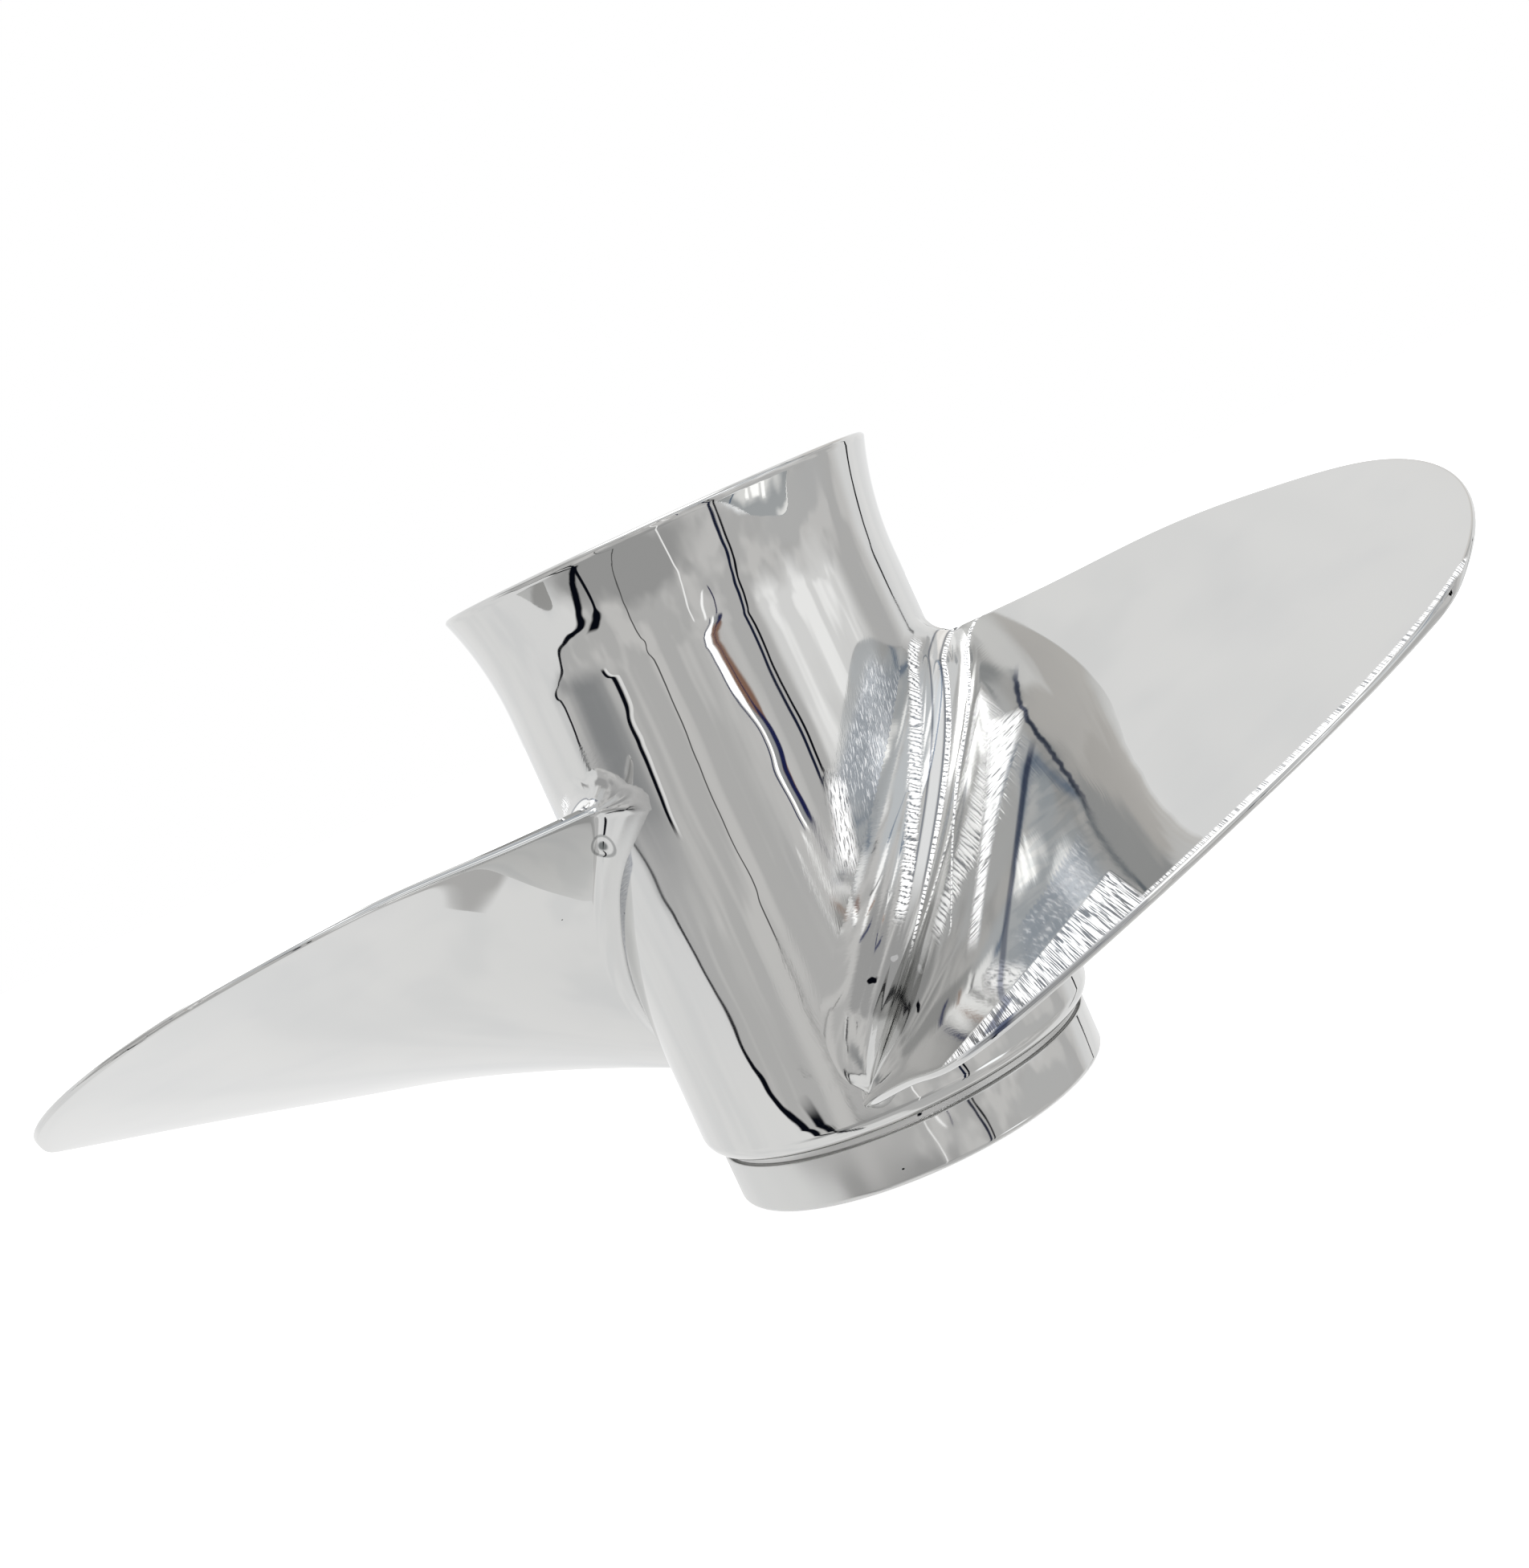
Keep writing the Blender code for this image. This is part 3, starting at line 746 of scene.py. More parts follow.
def fillet_sizes(side, face, trail_nose):
    """For each column, how far the fillet spreads over the barrel and how high it climbs the blade."""
    inward = np.minimum(1.0, 3.0 * np.sqrt(face * (1 - face)))
    sizes = []
    for lead, trail, front, rear in zip(LEADING_FILLET, TRAILING_FILLET, FRONT_FILLET, REAR_FILLET):
        ends = lead + (trail - lead) * face
        sizes.append(ends + (np.where(side > 0, front, rear) - ends) * inward)
    ledge = LEDGE * smooth_step(face, 0.75, 1.0) * smooth_step(trail_nose, 0.3, 0.95)
    return sizes[0] + np.where(side > 0, ledge, 0.0), sizes[1]


def lane_depth(share):
    """How deep the ground lanes are, from the barrel's end of the fillet to the blade's."""
    if not 0.0 < share < 1.0:
        return 0.0
    for number, (start, end) in enumerate(zip(LANES, LANES[1:])):
        if start <= share <= end:
            u = (share - start) / (end - start)
            shapes = (6.75 * u * u * (1 - u), 4 * u * (1 - u), 6.75 * u * (1 - u) ** 2)
            return LANE_DEPTH * shapes[number]


def grid_rows(reach, rise, behind):
    """For each row: its height over the barrel, how far it is pushed out, and how far the root is."""
    size = (reach + rise) / 2
    rows = [(level, reach + beyond, -beyond) for level, beyond in BELOW_SKIN]
    for share in np.linspace(0.0, 1.0, FILLET_ROWS):
        a = share * np.pi / 2
        dug = lane_depth(share) * behind
        up = rise * (1 - math.cos(a)) - dug * math.cos(a) - SINK
        rows.append((up, reach * (1 - math.sin(a)) - dug * math.sin(a), size * a))
    first = station_of(BLADE_ROOT + rise)
    for step in np.linspace(0.0, 1.0, SPAN_ROWS + 1)[1:]:
        radius = station_radius(first + (1 - first) * step)
        rows.append((radius - BLADE_ROOT, 0.0, size * np.pi / 2 + radius - BLADE_ROOT - rise))
    return [np.array([row[i] + 0 * size for row in rows]) for i in range(3)]


print("columns:", grid_columns()[0].size, "and rows:", len(BELOW_SKIN) + FILLET_ROWS + SPAN_ROWS)

# %% [markdown]
# ### The outline and the thickness
#
# Each edge of the blade is a smooth curve of the angle over the stations. Where the outline runs
# slantwise, a step round the section is longer than the true distance from the edge, and dividing
# by the slant puts that right, so that the rounding of the edge has the same radius all along. The
# blade is thickest in the middle of each section, and thins out from the root to the tip.

# %% Outline and thickness
EDGE_ROUNDING = (1.0 * MM, 0.6 * MM)
WIDEST_NOSE = 0.2
STATION_STEP = 1e-4


def outline_at(radius):
    """For the leading and the trailing edge: its angle, its slant, and the length of a radian."""
    t = station_of(radius)
    growth = np.maximum((BLADE_TIP - BLADE_ROOT) * np.pi / 2 * np.cos(np.pi * t / 2), 1e-6)
    edges = []
    for angles, sign in ((LEADING_ANGLES, 1.0), (TRAILING_ANGLES, -1.0)):
        angle = np.radians(even_spline(angles, t))
        metres = np.hypot(radius, blade_height(radius, angle)[1])
        ahead, back = even_spline(angles, t + STATION_STEP), even_spline(angles, t - STATION_STEP)
        turn = np.radians(ahead - back) / (2 * STATION_STEP)
        slant = np.sqrt(1 + (turn * metres / growth) ** 2)
        edges.append((angle + sign * INSET / metres, slant, metres))
    return edges


def thickness_at(share, span):
    """The blade's thickness at a share of the way from its leading edge, and of the way to its tip."""
    middle = ROOT_THICKNESS + (TIP_THICKNESS - ROOT_THICKNESS) * span**0.7
    trailing_edge = TRAILING_EDGE[0] + (TRAILING_EDGE[1] - TRAILING_EDGE[0]) * np.minimum(1.0, span / 0.6)
    edge = LEADING_EDGE + (trailing_edge - LEADING_EDGE) * share
    return edge + (np.maximum(middle, edge) - edge) * (4 * share * (1 - share)) ** 0.8


def section_normal(run, level):
    """The normal of each section at its points, from their neighbours: its parts along and across."""
    run, level = run[:, :-1], level[:, :-1]
    run = np.roll(run, -1, 1) - np.roll(run, 1, 1)
    climb = np.roll(level, -1, 1) - np.roll(level, 1, 1)
    norm = np.maximum(np.hypot(run, climb), 1e-12)
    return [np.pad(part / norm, ((0, 0), (0, 1)), mode="wrap") for part in (climb, -run)]


for name, (angle, slant, metres) in zip(("leading", "trailing"), outline_at(BLADE_ROOT)):
    print(f"the {name} edge starts at {math.degrees(angle):.1f} degrees")

# %% [markdown]
# ### All points of a blade
#
# Now the parts come together: the row says how far out a point lies, the column says where round
# the section, and the fillet pushes it out along the normal. Beside the places come the facts that
# the polish depends on: how far a point is from the root and from the leading edge, how far along
# the root it lies, whether it is behind the blade, and its place across the strip at the corner.

# %% Blade grid
ROOT_LENGTH = 130.0 * MM
ROOT_SHIFT_END = 45.0 * MM
STRIP_AXIS = (0.92, 0.39)


def blade_grid():
    """Places of all points of a blade, row by row from the root, and what the finish needs to know."""
    side, face, lead_nose, trail_nose = grid_columns()
    reach, rise = fillet_sizes(side, face, trail_nose)
    behind = np.where(side < 0, smooth_step(face, 0.02, 0.2) * (1 - smooth_step(face, 0.85, 1.0)), 0.0)
    above, extra, away = grid_rows(reach, rise, behind)
    radius = BLADE_ROOT + np.maximum(above, 0.0)
    span = np.clip((radius - BLADE_ROOT) / (BLADE_TIP - BLADE_ROOT), 0.0, 1.0)

    edges = outline_at(radius)
    chord = np.maximum(edges[1][0] - edges[0][0], 0.0)
    noses = []
    for rounding, (angle, slant, metres) in zip(EDGE_ROUNDING, edges):
        noses.append(np.minimum(WIDEST_NOSE, rounding * slant / np.maximum(chord * metres, 1e-9)))
    share = noses[0] * lead_nose + (1 - noses[0] - noses[1]) * face + noses[1] * (1 - trail_nose)
    angle = edges[0][0] + chord * share
    height, slope = blade_height(radius, angle)
    metres = np.hypot(radius, slope)
    to_leading = chord * share * metres / edges[0][1]
    to_trailing = chord * (1 - share) * metres / edges[1][1]
    to_outline = np.minimum(np.minimum(to_leading, to_trailing), BLADE_TIP - radius)
    rounding = nose(to_outline, EDGE_ROUNDING[0] + (EDGE_ROUNDING[1] - EDGE_ROUNDING[0]) * share)
    level = thickness_at(share, span) * (1 + side * rounding) / 2

    along, across = section_normal(chord * share * metres, level)
    along, across = along * extra, level + across * extra
    turned_by = (along * radius + across * slope) / (metres * radius)
    z = height + (along * slope - across * radius) / metres
    root_shift = (wall_radius(z) - BLADE_ROOT) * (1 - smooth_step(above, 0.0, ROOT_SHIFT_END))
    out = BLADE_ROOT + above + root_shift
    places = np.stack((out * np.sin(angle + turned_by), -out * np.cos(angle + turned_by), z), -1)
    facts = {"away": away, "along": share * ROOT_LENGTH, "edge": to_leading}
    facts["rear"] = np.where(side < 0, 1.0, 0.0) + 0 * radius
    facts["strip"] = STRIP_AXIS[0] * places[..., 0] + STRIP_AXIS[1] * places[..., 2]
    return places, facts


blade_places, blade_facts = blade_grid()
print("blade grid:", blade_places.shape[:2], "points")

# %% [markdown]
# ### Where the grinder went
#
# The polish isn't the same all over. Around the blades' roots it was done with a small wheel,
# which left lanes of chatter marks along the fillet and over the barrel beside it. The steel's
# material needs to know how far each point lies from each lane. A lane is a curve of the distance
# from the root over the way along the root, both in millimetres, and what is written to the
# points is the distance from that curve, because a distance stays smooth between them.
#
# The first, the second and the seam are rows of chatter marks, the ridge is a line of painted
# highlight and the flank a band of sheared streaks. The hollow and the shore are dark lines of
# painted reflection on the face, and the arm is the band where the streaks run out over the barrel.

# %% Lanes of the grinder
LANE_CURVES = {
    "first": ((45, 12.9), (49, 12.2), (59, 10.6), (69, 9.8), (81, 8.2), (95, 5.9), (110, 4.3)),
    "second": ((34, 19.2), (51, 17.8), (69, 16.1), (88, 15.6), (101, 13.7), (115, 12.5)),
    "seam": ((35, 49.0), (45, 34.1), (60, 24.7), (78, 20.0), (92, 19.2), (115, 18.4)),
    "ridge": ((0, 20.0), (23, 20.8), (39, 21.6), (61, 21.6), (79, 18.2), (92, 17.0)),
    "flank": ((20, 90.0), (31, 69.0), (43, 54.5), (56, 45.0), (73, 37.3), (83, 34.8), (92, 36.0)),
    "hollow": ((10, 120.0), (25, 93.7), (49, 63.0), (62, 53.7), (72, 49.0), (80, 47.0)),
    "shore": ((30, 124.0), (39, 109.0), (51, 88.0), (62, 70.0), (75, 53.7), (83, 44.3), (99, 34.9)),
    "arm": ((40, 3.0), (52, 5.0), (60, 16.0), (69, 28.0), (80, 36.0)),
}


def add_lanes(facts):
    """Turns the facts into millimetres and adds the distance from each lane."""
    facts = {name: values if name == "rear" else values / MM for name, values in facts.items()}
    for name, curve in LANE_CURVES.items():
        at, level = zip(*curve)
        root = np.clip(facts["along"], at[0], at[-1])
        facts[name] = facts["away"] - np.polyval(np.polyfit(at, level, 3), root)
    return facts


blade_facts = add_lanes(blade_facts)
print("facts for each point:", ", ".join(blade_facts))

# %% Blade from a grid
def places_of(piece):
    """The x, y and z of all points of a piece."""
    flat = np.zeros(len(piece.data.vertices) * 3)
    piece.data.vertices.foreach_get("co", flat)
    return flat.reshape(-1, 3).T


def stamp(piece, name, values):
    """Writes a value for each point of the piece, which its material can read."""
    attribute = piece.data.attributes.new(name, "FLOAT", "POINT")
    attribute.data.foreach_set("value", np.asarray(values, np.float32).ravel())


def add_blade(name):
    """A grid of the blade's size in points, with each point moved to its place on the blade."""
    rows, columns = blade_places.shape[:2]
    deselect_all()
    bpy.ops.mesh.primitive_grid_add(x_subdivisions=columns - 1, y_subdivisions=rows - 1, size=1.0)
    piece = take_new(name)
    across, up = places_of(piece)[:2]
    column = np.rint((across + 0.5) * (columns - 1)).astype(int)
    row = np.rint((up + 0.5) * (rows - 1)).astype(int)
    piece.data.vertices.foreach_set("co", blade_places[row, column].ravel())
    for fact, values in blade_facts.items():
        stamp(piece, fact, values[row, column])
    bpy.ops.object.mode_set(mode="EDIT")
    bpy.ops.mesh.select_all(action="SELECT")
    bpy.ops.mesh.remove_doubles(threshold=0.005 * MM)
    bpy.ops.mesh.select_all(action="DESELECT")
    bpy.ops.mesh.select_non_manifold()
    bpy.ops.mesh.fill()
    close_mesh()
    return piece


BLADE_TURNS = (0.0, -120.0, 120.0)
first_blade = add_blade("blade_right")
blade_names = ("blade_right", "blade_left", "blade_back")
blades = [first_blade]
for name in blade_names[1:]:
    copy = first_blade.copy()
    copy.data = first_blade.data.copy()
    copy.name = name
    bpy.context.collection.objects.link(copy)
    blades.append(copy)
for number, (blade, turn) in enumerate(zip(blades, BLADE_TURNS)):
    blade.data.transform(Matrix.Rotation(math.radians(turn), 4, "Z"))
    finish_piece(blade, "polished_steel", [f"blade_{number + 1}"], crease=60.0)

# %% [markdown]
# ## The parts inside the hub
#
# Looking into the barrel from behind, one sees the inner hub on its three webs, with the exhaust
# passing between them, and in the middle the drive: a rubber bush pressed into the inner hub,
# bonded to a bronze sleeve whose bore has fifteen splines for the shaft.

# %% Inner hub
INNER_HUB_RADIUS = 32.0 * MM
INNER_HUB_BORE = 26.3 * MM
INNER_HUB_Z = (10.0 * MM, 128.0 * MM)
INNER_HUB_EDGES = (2.0 * MM, 0.8 * MM)
INNER_STEPS = 144


def tube_profile(outer, inner, heights, outer_edge, inner_edge):
    """A tube's closed profile, with rounded edges outside and inside."""
    low, high = heights
    profile = arc((outer - outer_edge, high - outer_edge), outer_edge, 90.0, 0.0, 5)
    profile += arc((outer - outer_edge, low + outer_edge), outer_edge, 0.0, -90.0, 5)
    profile += arc((inner + inner_edge, low + inner_edge), inner_edge, -90.0, -180.0, 4)
    profile += arc((inner + inner_edge, high - inner_edge), inner_edge, 180.0, 90.0, 4)
    return profile


hub_profile = tube_profile(INNER_HUB_RADIUS, INNER_HUB_BORE, INNER_HUB_Z, *INNER_HUB_EDGES)
inner_hub = spin_profile("inner_tube", hub_profile, INNER_STEPS)
finish_piece(inner_hub, "cast_steel", ["inner_hub"])

# %% [markdown]
# ### The webs
#
# Each web is a cast plate with a fillet where it meets either wall. Its outline is drawn in plan,
# one side from the hub to the barrel and back along the other, then filled and pulled up, and
# its two ends are bevelled where the exhaust runs over them.

# %% Webs
WEB_THICKNESS = 5.0 * MM
WEB_Z = (22.0 * MM, 122.0 * MM)
WEB_FILLET = 3.5 * MM
WEB_ROUNDING = 1.6 * MM
WEB_SINK = (0.3 * MM, 0.25 * MM)
FIRST_WEB_ANGLE = 30.0
WEB_ANGLES = [FIRST_WEB_ANGLE + number * 120.0 for number in range(3)]


def web_side():
    """Half of the web's plan as (distance from the axis, half width), from the hub to the barrel."""
    half = WEB_THICKNESS / 2
    start = INNER_HUB_RADIUS - WEB_SINK[0]
    end = BORE_RADIUS + WEB_SINK[1]
    near = arc((start + WEB_FILLET, half + WEB_FILLET), WEB_FILLET, 180.0, 270.0, 6)
    far = arc((end - WEB_FILLET, half + WEB_FILLET), WEB_FILLET, 270.0, 360.0, 6)
    return near + far


def add_web(name, angle):
    side = web_side()
    outline = side + [(along, -width) for along, width in side[::-1]]
    points = [(along, width, WEB_Z[0]) for along, width in outline]
    piece = draw_outline(name, points + points[:1])
    bpy.ops.mesh.select_all(action="SELECT")
    bpy.ops.mesh.remove_doubles(threshold=0.01 * MM)
    bpy.ops.mesh.edge_face_add()
    lift_up = {"value": (0.0, 0.0, WEB_Z[1] - WEB_Z[0])}
    bpy.ops.mesh.extrude_region_move(TRANSFORM_OT_translate=lift_up)
    close_mesh()
    rounding = piece.modifiers.new("rounded ends", "BEVEL")
    rounding.width = WEB_ROUNDING
    rounding.segments = 4
    rounding.limit_method = "ANGLE"
    rounding.angle_limit = math.radians(60.0)
    bpy.ops.object.modifier_apply(modifier=rounding.name)
    piece.data.transform(Matrix.Rotation(math.radians(angle - 90.0), 4, "Z"))
    return piece


for number, angle in enumerate(WEB_ANGLES):
    plate = add_web(f"plate_{number + 1}", angle)
    finish_piece(plate, "cast_steel", [f"web_{number + 1}"])

# %% [markdown]
# ### The rubber bush and the splined sleeve
#
# The bush is moulded rubber, slightly dished between its two metals at either end. The sleeve
# starts as two open cylinders with the same number of points. The inner one gets its splines by
# moving its points in or out with their angle, and bridges close the two ends.

# %% Bush
BUSH_RADIUS = 26.3 * MM
BUSH_Z = (22.0 * MM, 112.0 * MM)
SLEEVE_RADIUS = 19.3 * MM
DISH = 1.6 * MM


def dished_end(level, sign, steps=10):
    """The bush's end from its outside to the sleeve, dished by sign times DISH."""
    shares = np.linspace(0.0, 1.0, steps + 1)
    width = BUSH_RADIUS - SLEEVE_RADIUS
    return [(BUSH_RADIUS - width * s, level - sign * DISH * math.sin(math.pi * s)) for s in shares]


bush_profile = dished_end(BUSH_Z[1], 1.0)[::-1] + dished_end(BUSH_Z[0], -1.0)
bush = spin_profile("drive_bush", bush_profile, INNER_STEPS)
finish_piece(bush, "rubber", ["rubber_bushing"])

# %% Sleeve
SLEEVE_Z = (8.0 * MM, 124.0 * MM)
SPLINE_COUNT = 15
SPLINE_ROOT = 15.9 * MM
SPLINE_CREST = 14.4 * MM
SPLINE_FLANK = (0.36, 0.64)
SLEEVE_LENGTH = SLEEVE_Z[1] - SLEEVE_Z[0]
SLEEVE_CHAMFER = 1.0 * MM
SLEEVE_POINTS = SPLINE_COUNT * 16


def spline_radius(angle):
    """The bore's radius: flat crests and roots, with slanted flanks between them."""
    phase = angle / math.tau * SPLINE_COUNT % 1.0
    off = abs(phase - 0.5) * 2
    return SPLINE_CREST + (SPLINE_ROOT - SPLINE_CREST) * smooth_step(off, *SPLINE_FLANK)


def pick(piece, test):
    """In edit mode: selects the vertices whose place passes the test, and the edges between them."""
    mesh = bmesh.from_edit_mesh(piece.data)
    for vertex in mesh.verts:
        vertex.select = test(vertex.co)
    mesh.select_flush_mode()
    bmesh.update_edit_mesh(piece.data)


def is_end(place, level):
    return abs(place.z - level) < 0.01 * MM


def is_outer_end(place):
    at_end = abs(abs(place.z) - SLEEVE_LENGTH / 2) < 0.01 * MM
    return at_end and place.xy.length > SLEEVE_RADIUS - 0.1 * MM


deselect_all()
open_tube = {"vertices": SLEEVE_POINTS, "depth": SLEEVE_LENGTH, "end_fill_type": "NOTHING"}
bpy.ops.mesh.primitive_cylinder_add(radius=SLEEVE_RADIUS, **open_tube)
sleeve = take_new("drive_sleeve")
bpy.ops.object.mode_set(mode="EDIT")
bpy.ops.mesh.primitive_cylinder_add(radius=SPLINE_CREST, **open_tube)
for vertex in bmesh.from_edit_mesh(sleeve.data).verts:
    if vertex.select:
        ratio = spline_radius(math.atan2(vertex.co.y, vertex.co.x)) / vertex.co.xy.length
        vertex.co.x *= ratio
        vertex.co.y *= ratio
for level in (-SLEEVE_LENGTH / 2, SLEEVE_LENGTH / 2):
    bpy.ops.mesh.select_all(action="DESELECT")
    pick(sleeve, lambda place: is_end(place, level))
    bpy.ops.mesh.bridge_edge_loops()
bpy.ops.mesh.select_all(action="DESELECT")
pick(sleeve, is_outer_end)
bpy.ops.mesh.bevel(offset=SLEEVE_CHAMFER, segments=3, affect="EDGES")
bpy.ops.mesh.select_all(action="SELECT")
bpy.ops.transform.translate(value=(0.0, 0.0, sum(SLEEVE_Z) / 2))
close_mesh()
finish_piece(sleeve, "bronze", ["splined_sleeve"])

# %% [markdown]
# ## The ground zones of the barrel
#
# The wheel ran along the barrel beside the fillet too, so the barrel gets the same facts for each
# of its points. The distance is measured on the unrolled barrel, where the root of a blade is a
# plain curve, and it is stretched, because the zones there are narrower than on the blades.

# %% Ground zones of the barrel
ROOT_SAMPLES = 240
BARREL_SPREAD = 3.0
FAR = 1.0


def root_curve():
    """The root's middle line on the unrolled barrel: angle, height, and share from the leading edge."""
    share = np.linspace(0.0, 1.0, ROOT_SAMPLES)
    leading, trailing = math.radians(LEADING_ANGLES[0]), math.radians(TRAILING_ANGLES[0])
    angle = leading + (trailing - leading) * share
    return angle, blade_height(BLADE_ROOT, angle)[0], share


def stamp_barrel(piece):
    """Writes the facts to the barrel's points, each from the root that is nearest to it."""
    x, y, z = places_of(piece)
    around = np.arctan2(x, -y)
    away = np.full(len(x), FAR)
    along = np.zeros(len(x))
    behind = np.zeros(len(x))
    angle, height, share = root_curve()
    slope = blade_height(BLADE_ROOT, angle)[1]
    inward = np.minimum(1.0, 3 * np.sqrt(share * (1 - share)))
    for turn in BLADE_TURNS:
        off = (around[:, None] - angle[None] - math.radians(turn) + np.pi) % math.tau - np.pi
        lift = z[:, None] - height[None]
        nearest = np.hypot(off * BLADE_ROOT, lift).argmin(1)
        every = np.arange(len(x))
        gap = np.hypot(off * BLADE_ROOT, lift)[every, nearest]
        in_front = (off * slope[None] - lift)[every, nearest] > 0
        front_reach = ROOT_THICKNESS + FRONT_FILLET[0]
        reach = np.where(in_front, front_reach, REAR_FILLET[0]) * inward[nearest]
        distance = (gap - reach) * BARREL_SPREAD
        rise = slope[nearest] / np.hypot(slope[nearest], BLADE_ROOT)
        level = BLADE_ROOT / np.hypot(slope[nearest], BLADE_ROOT)
        beyond = off[every, nearest] * BLADE_ROOT * level + lift[every, nearest] * rise
        along = np.where(distance < away, share[nearest] * ROOT_LENGTH + beyond, along)
        behind = np.where(distance < away, 1.0 - in_front, behind)
        away = np.minimum(away, distance)
    inside = np.hypot(x, y) < BORE_RADIUS + 1.0 * MM
    facts = {"away": np.where(inside, FAR, away), "along": along, "rear": behind}
    facts["edge"] = np.full(len(x), FAR)
    for name, values in add_lanes(facts).items():
        stamp(piece, name, values)


stamp_barrel(barrel)
for fact in blade_facts:
    stamp(collar, fact, np.full(len(collar.data.vertices), 0.0 if fact == "rear" else FAR / MM))
print("ground zones stamped on", barrel.name, "and", collar.name)

# %% [markdown]
# ## Polished steel
#
# Polished stainless steel is a mirror with a grey of its own. Three things keep it from looking
# like glass: its surface rolls by a few tenths of a millimetre where the belt passed, faint smears
# dull it, and around the roots the wheel's marks run across the light and break it into sparks,
# whose highlights and shade are partly painted into the colour.
#
# The finish has two shaders. One is the plain mirror, and the other is the same steel where the
# small wheel went. One shader for both would be shorter, but a Mix Shader works out only the side
# that is seen, so the large smooth faces stay quick. Here the nodes are added cell by cell: first
# those that say where a point of the steel lies.

# %% Where a point of the steel lies
steel_finish, steel = new_material("polished_steel_finish")
place = steel.add("ShaderNodeTexCoord", output="Object")
x, y, z = steel.split(place)
out = (x * x + y * y).math("SQRT")
fact = {}
for name in blade_facts:
    fact[name] = steel.add("ShaderNodeAttribute", {"attribute_name": name}, output="Fac")
mm, root, edge, rear = [fact[name] for name in ("away", "along", "edge", "rear")]
on_barrel = steel.fade(edge, 500.0, 600.0)
on_blade = 1 - on_barrel
inside = 1 - steel.fade(out, 51.9 * MM, 52.2 * MM)
on_collar = (1 - steel.fade(z, 15.0 * MM, 15.5 * MM)) * (1 - inside)
print("facts read:", ", ".join(fact))

# %% [markdown]
# ### The mirror
#
# The mirror's relief is smooth noise of low frequency. Its few marks are ovals at their own
# places, made ragged by a fine noise, and one of them is a round pit, a shallow dip whose dark core
# and rim are painted shade. The collar's left half is satin, and what it mirrors is soft.

# %% The mirror
STEEL_GREY = (0.665, 0.665, 0.655, 1.0)
SMEARED_GREY = (0.60, 0.605, 0.61, 1.0)
PAINTED_PIT_SHADE = (0.10, 0.11, 0.11, 1.0)
PIT = ((-43.9, -38.3, 104.9), (2.6, 2.6, 4.4))
MARKS = (
    ((9.6, -60.0, 54.7), 1.8, WHITE),
    ((2.2, -57.5, 51.6), 2.4, BLACK),
    ((-61.7, -28.6, 91.9), 0.4, BLACK),
    ((-46.8, -29.1, 86.9), 0.4, BLACK),
    ((-9.7, -51.5, 4.3), 0.5, BLACK),
    ((-0.5, -51.5, 14.8), 1.4, BLACK),
)


def oval(centre, sizes):
    """Distance from a centre in millimetres, as a share of the sizes in millimetres."""
    sockets = {"Vector": place, "Location": Vector(centre) * MM, "Scale": Vector(sizes) * MM}
    inwards = steel.add("ShaderNodeMapping", {"vector_type": "TEXTURE"}, sockets)
    return steel.add("ShaderNodeVectorMath", {"operation": "LENGTH"}, {0: inwards}, output=1)


def surface(graph, colour, roughness, relief, metallic=1.0):
    """A Principled shader with its relief, a height in metres, in a Bump node."""
    bump = graph.add("ShaderNodeBump", {}, {"Strength": 1.0, "Distance": 1.0, "Height": relief})
    sockets = {"Base Color": colour, "Metallic": metallic, "Roughness": roughness, "Normal": bump}
    return graph.add("ShaderNodeBsdfPrincipled", {}, sockets)


rolling = steel.blend_value(steel.fade(out, 56.5 * MM, 60 * MM), 0.62, 0.16)
pit = oval(*PIT)
relief = steel.noise(place, 24.0, 1.5) * rolling * MM + steel.noise(place, 9.0, 0.0) * (0.30 * MM)
relief = relief - steel.near(pit, 0.0, 0.8, 0.4) * (0.12 * MM)
smears = steel.fade(steel.noise(steel.join(x * 40, y * 40, z * 12), 1.0, 2.0), 0.45, 0.75)
colour = steel.blend(smears * 0.3, STEEL_GREY, SMEARED_GREY)
speckle = steel.noise(place, 500.0, 1.0) * 1.5
for centre, size, shade in MARKS:
    mark = steel.near(oval(centre, (size, size, size * 0.6)) + speckle, 0.75, 0.6, 0.2)
    colour = steel.blend(mark, colour, shade)
# Painted shade: the pit's dark core and its rim are darkened in the colour.
pit_shade = steel.near(pit, 0.0, 0.45, 0.3) * 0.85 + steel.near(pit, 1.0, 0.12, 0.6) * 0.5
colour = steel.blend(pit_shade, colour, PAINTED_PIT_SHADE)
satin = on_collar * (0.24 - steel.fade(x, -14 * MM, 0.0) * 0.20)
mirror = surface(steel, colour, smears * 0.05 + satin, relief)
print("marks on the mirror:", len(MARKS), "and a pit")

# %% [markdown]
# ### Where the small wheel went
#
# Four patterns make up the wheel's marks: a slow wobble, fine sheared scratches, beads in a row,
# and strokes across the outer edge. Then there are masks for where each of them lies. A lane is
# where the distance from its curve is near 0, for a stretch of the way along the root.

# %% The patterns
wobble = steel.noise(steel.join(root * 0.3, mm * 0.12, 0.0), 1.0, 1.0)
fine = steel.noise(steel.join(root * 1.5 - mm * 0.9, mm * 0.16 + root * 0.09, 0.0), 1.0, 2.0)
beads = (root * 5.0 + mm * 0.6 + wobble * 20.0 + fine * 7.0).math("SINE")
strokes = steel.noise(steel.join(fact["strip"] * 4.6, edge * 0.05, wobble * 0.3), 1.0, 1.5)
ragged = (fine - 0.5) * 2.2
print("patterns ready")


# %% Where they lie
def stretch(begin=None, end=None):
    """1 along a stretch of the root, given by where it fades in and where it fades out."""
    mask = steel.fade(root, *begin) if begin else 1.0
    return mask * (1 - steel.fade(root, *end)) if end else mask


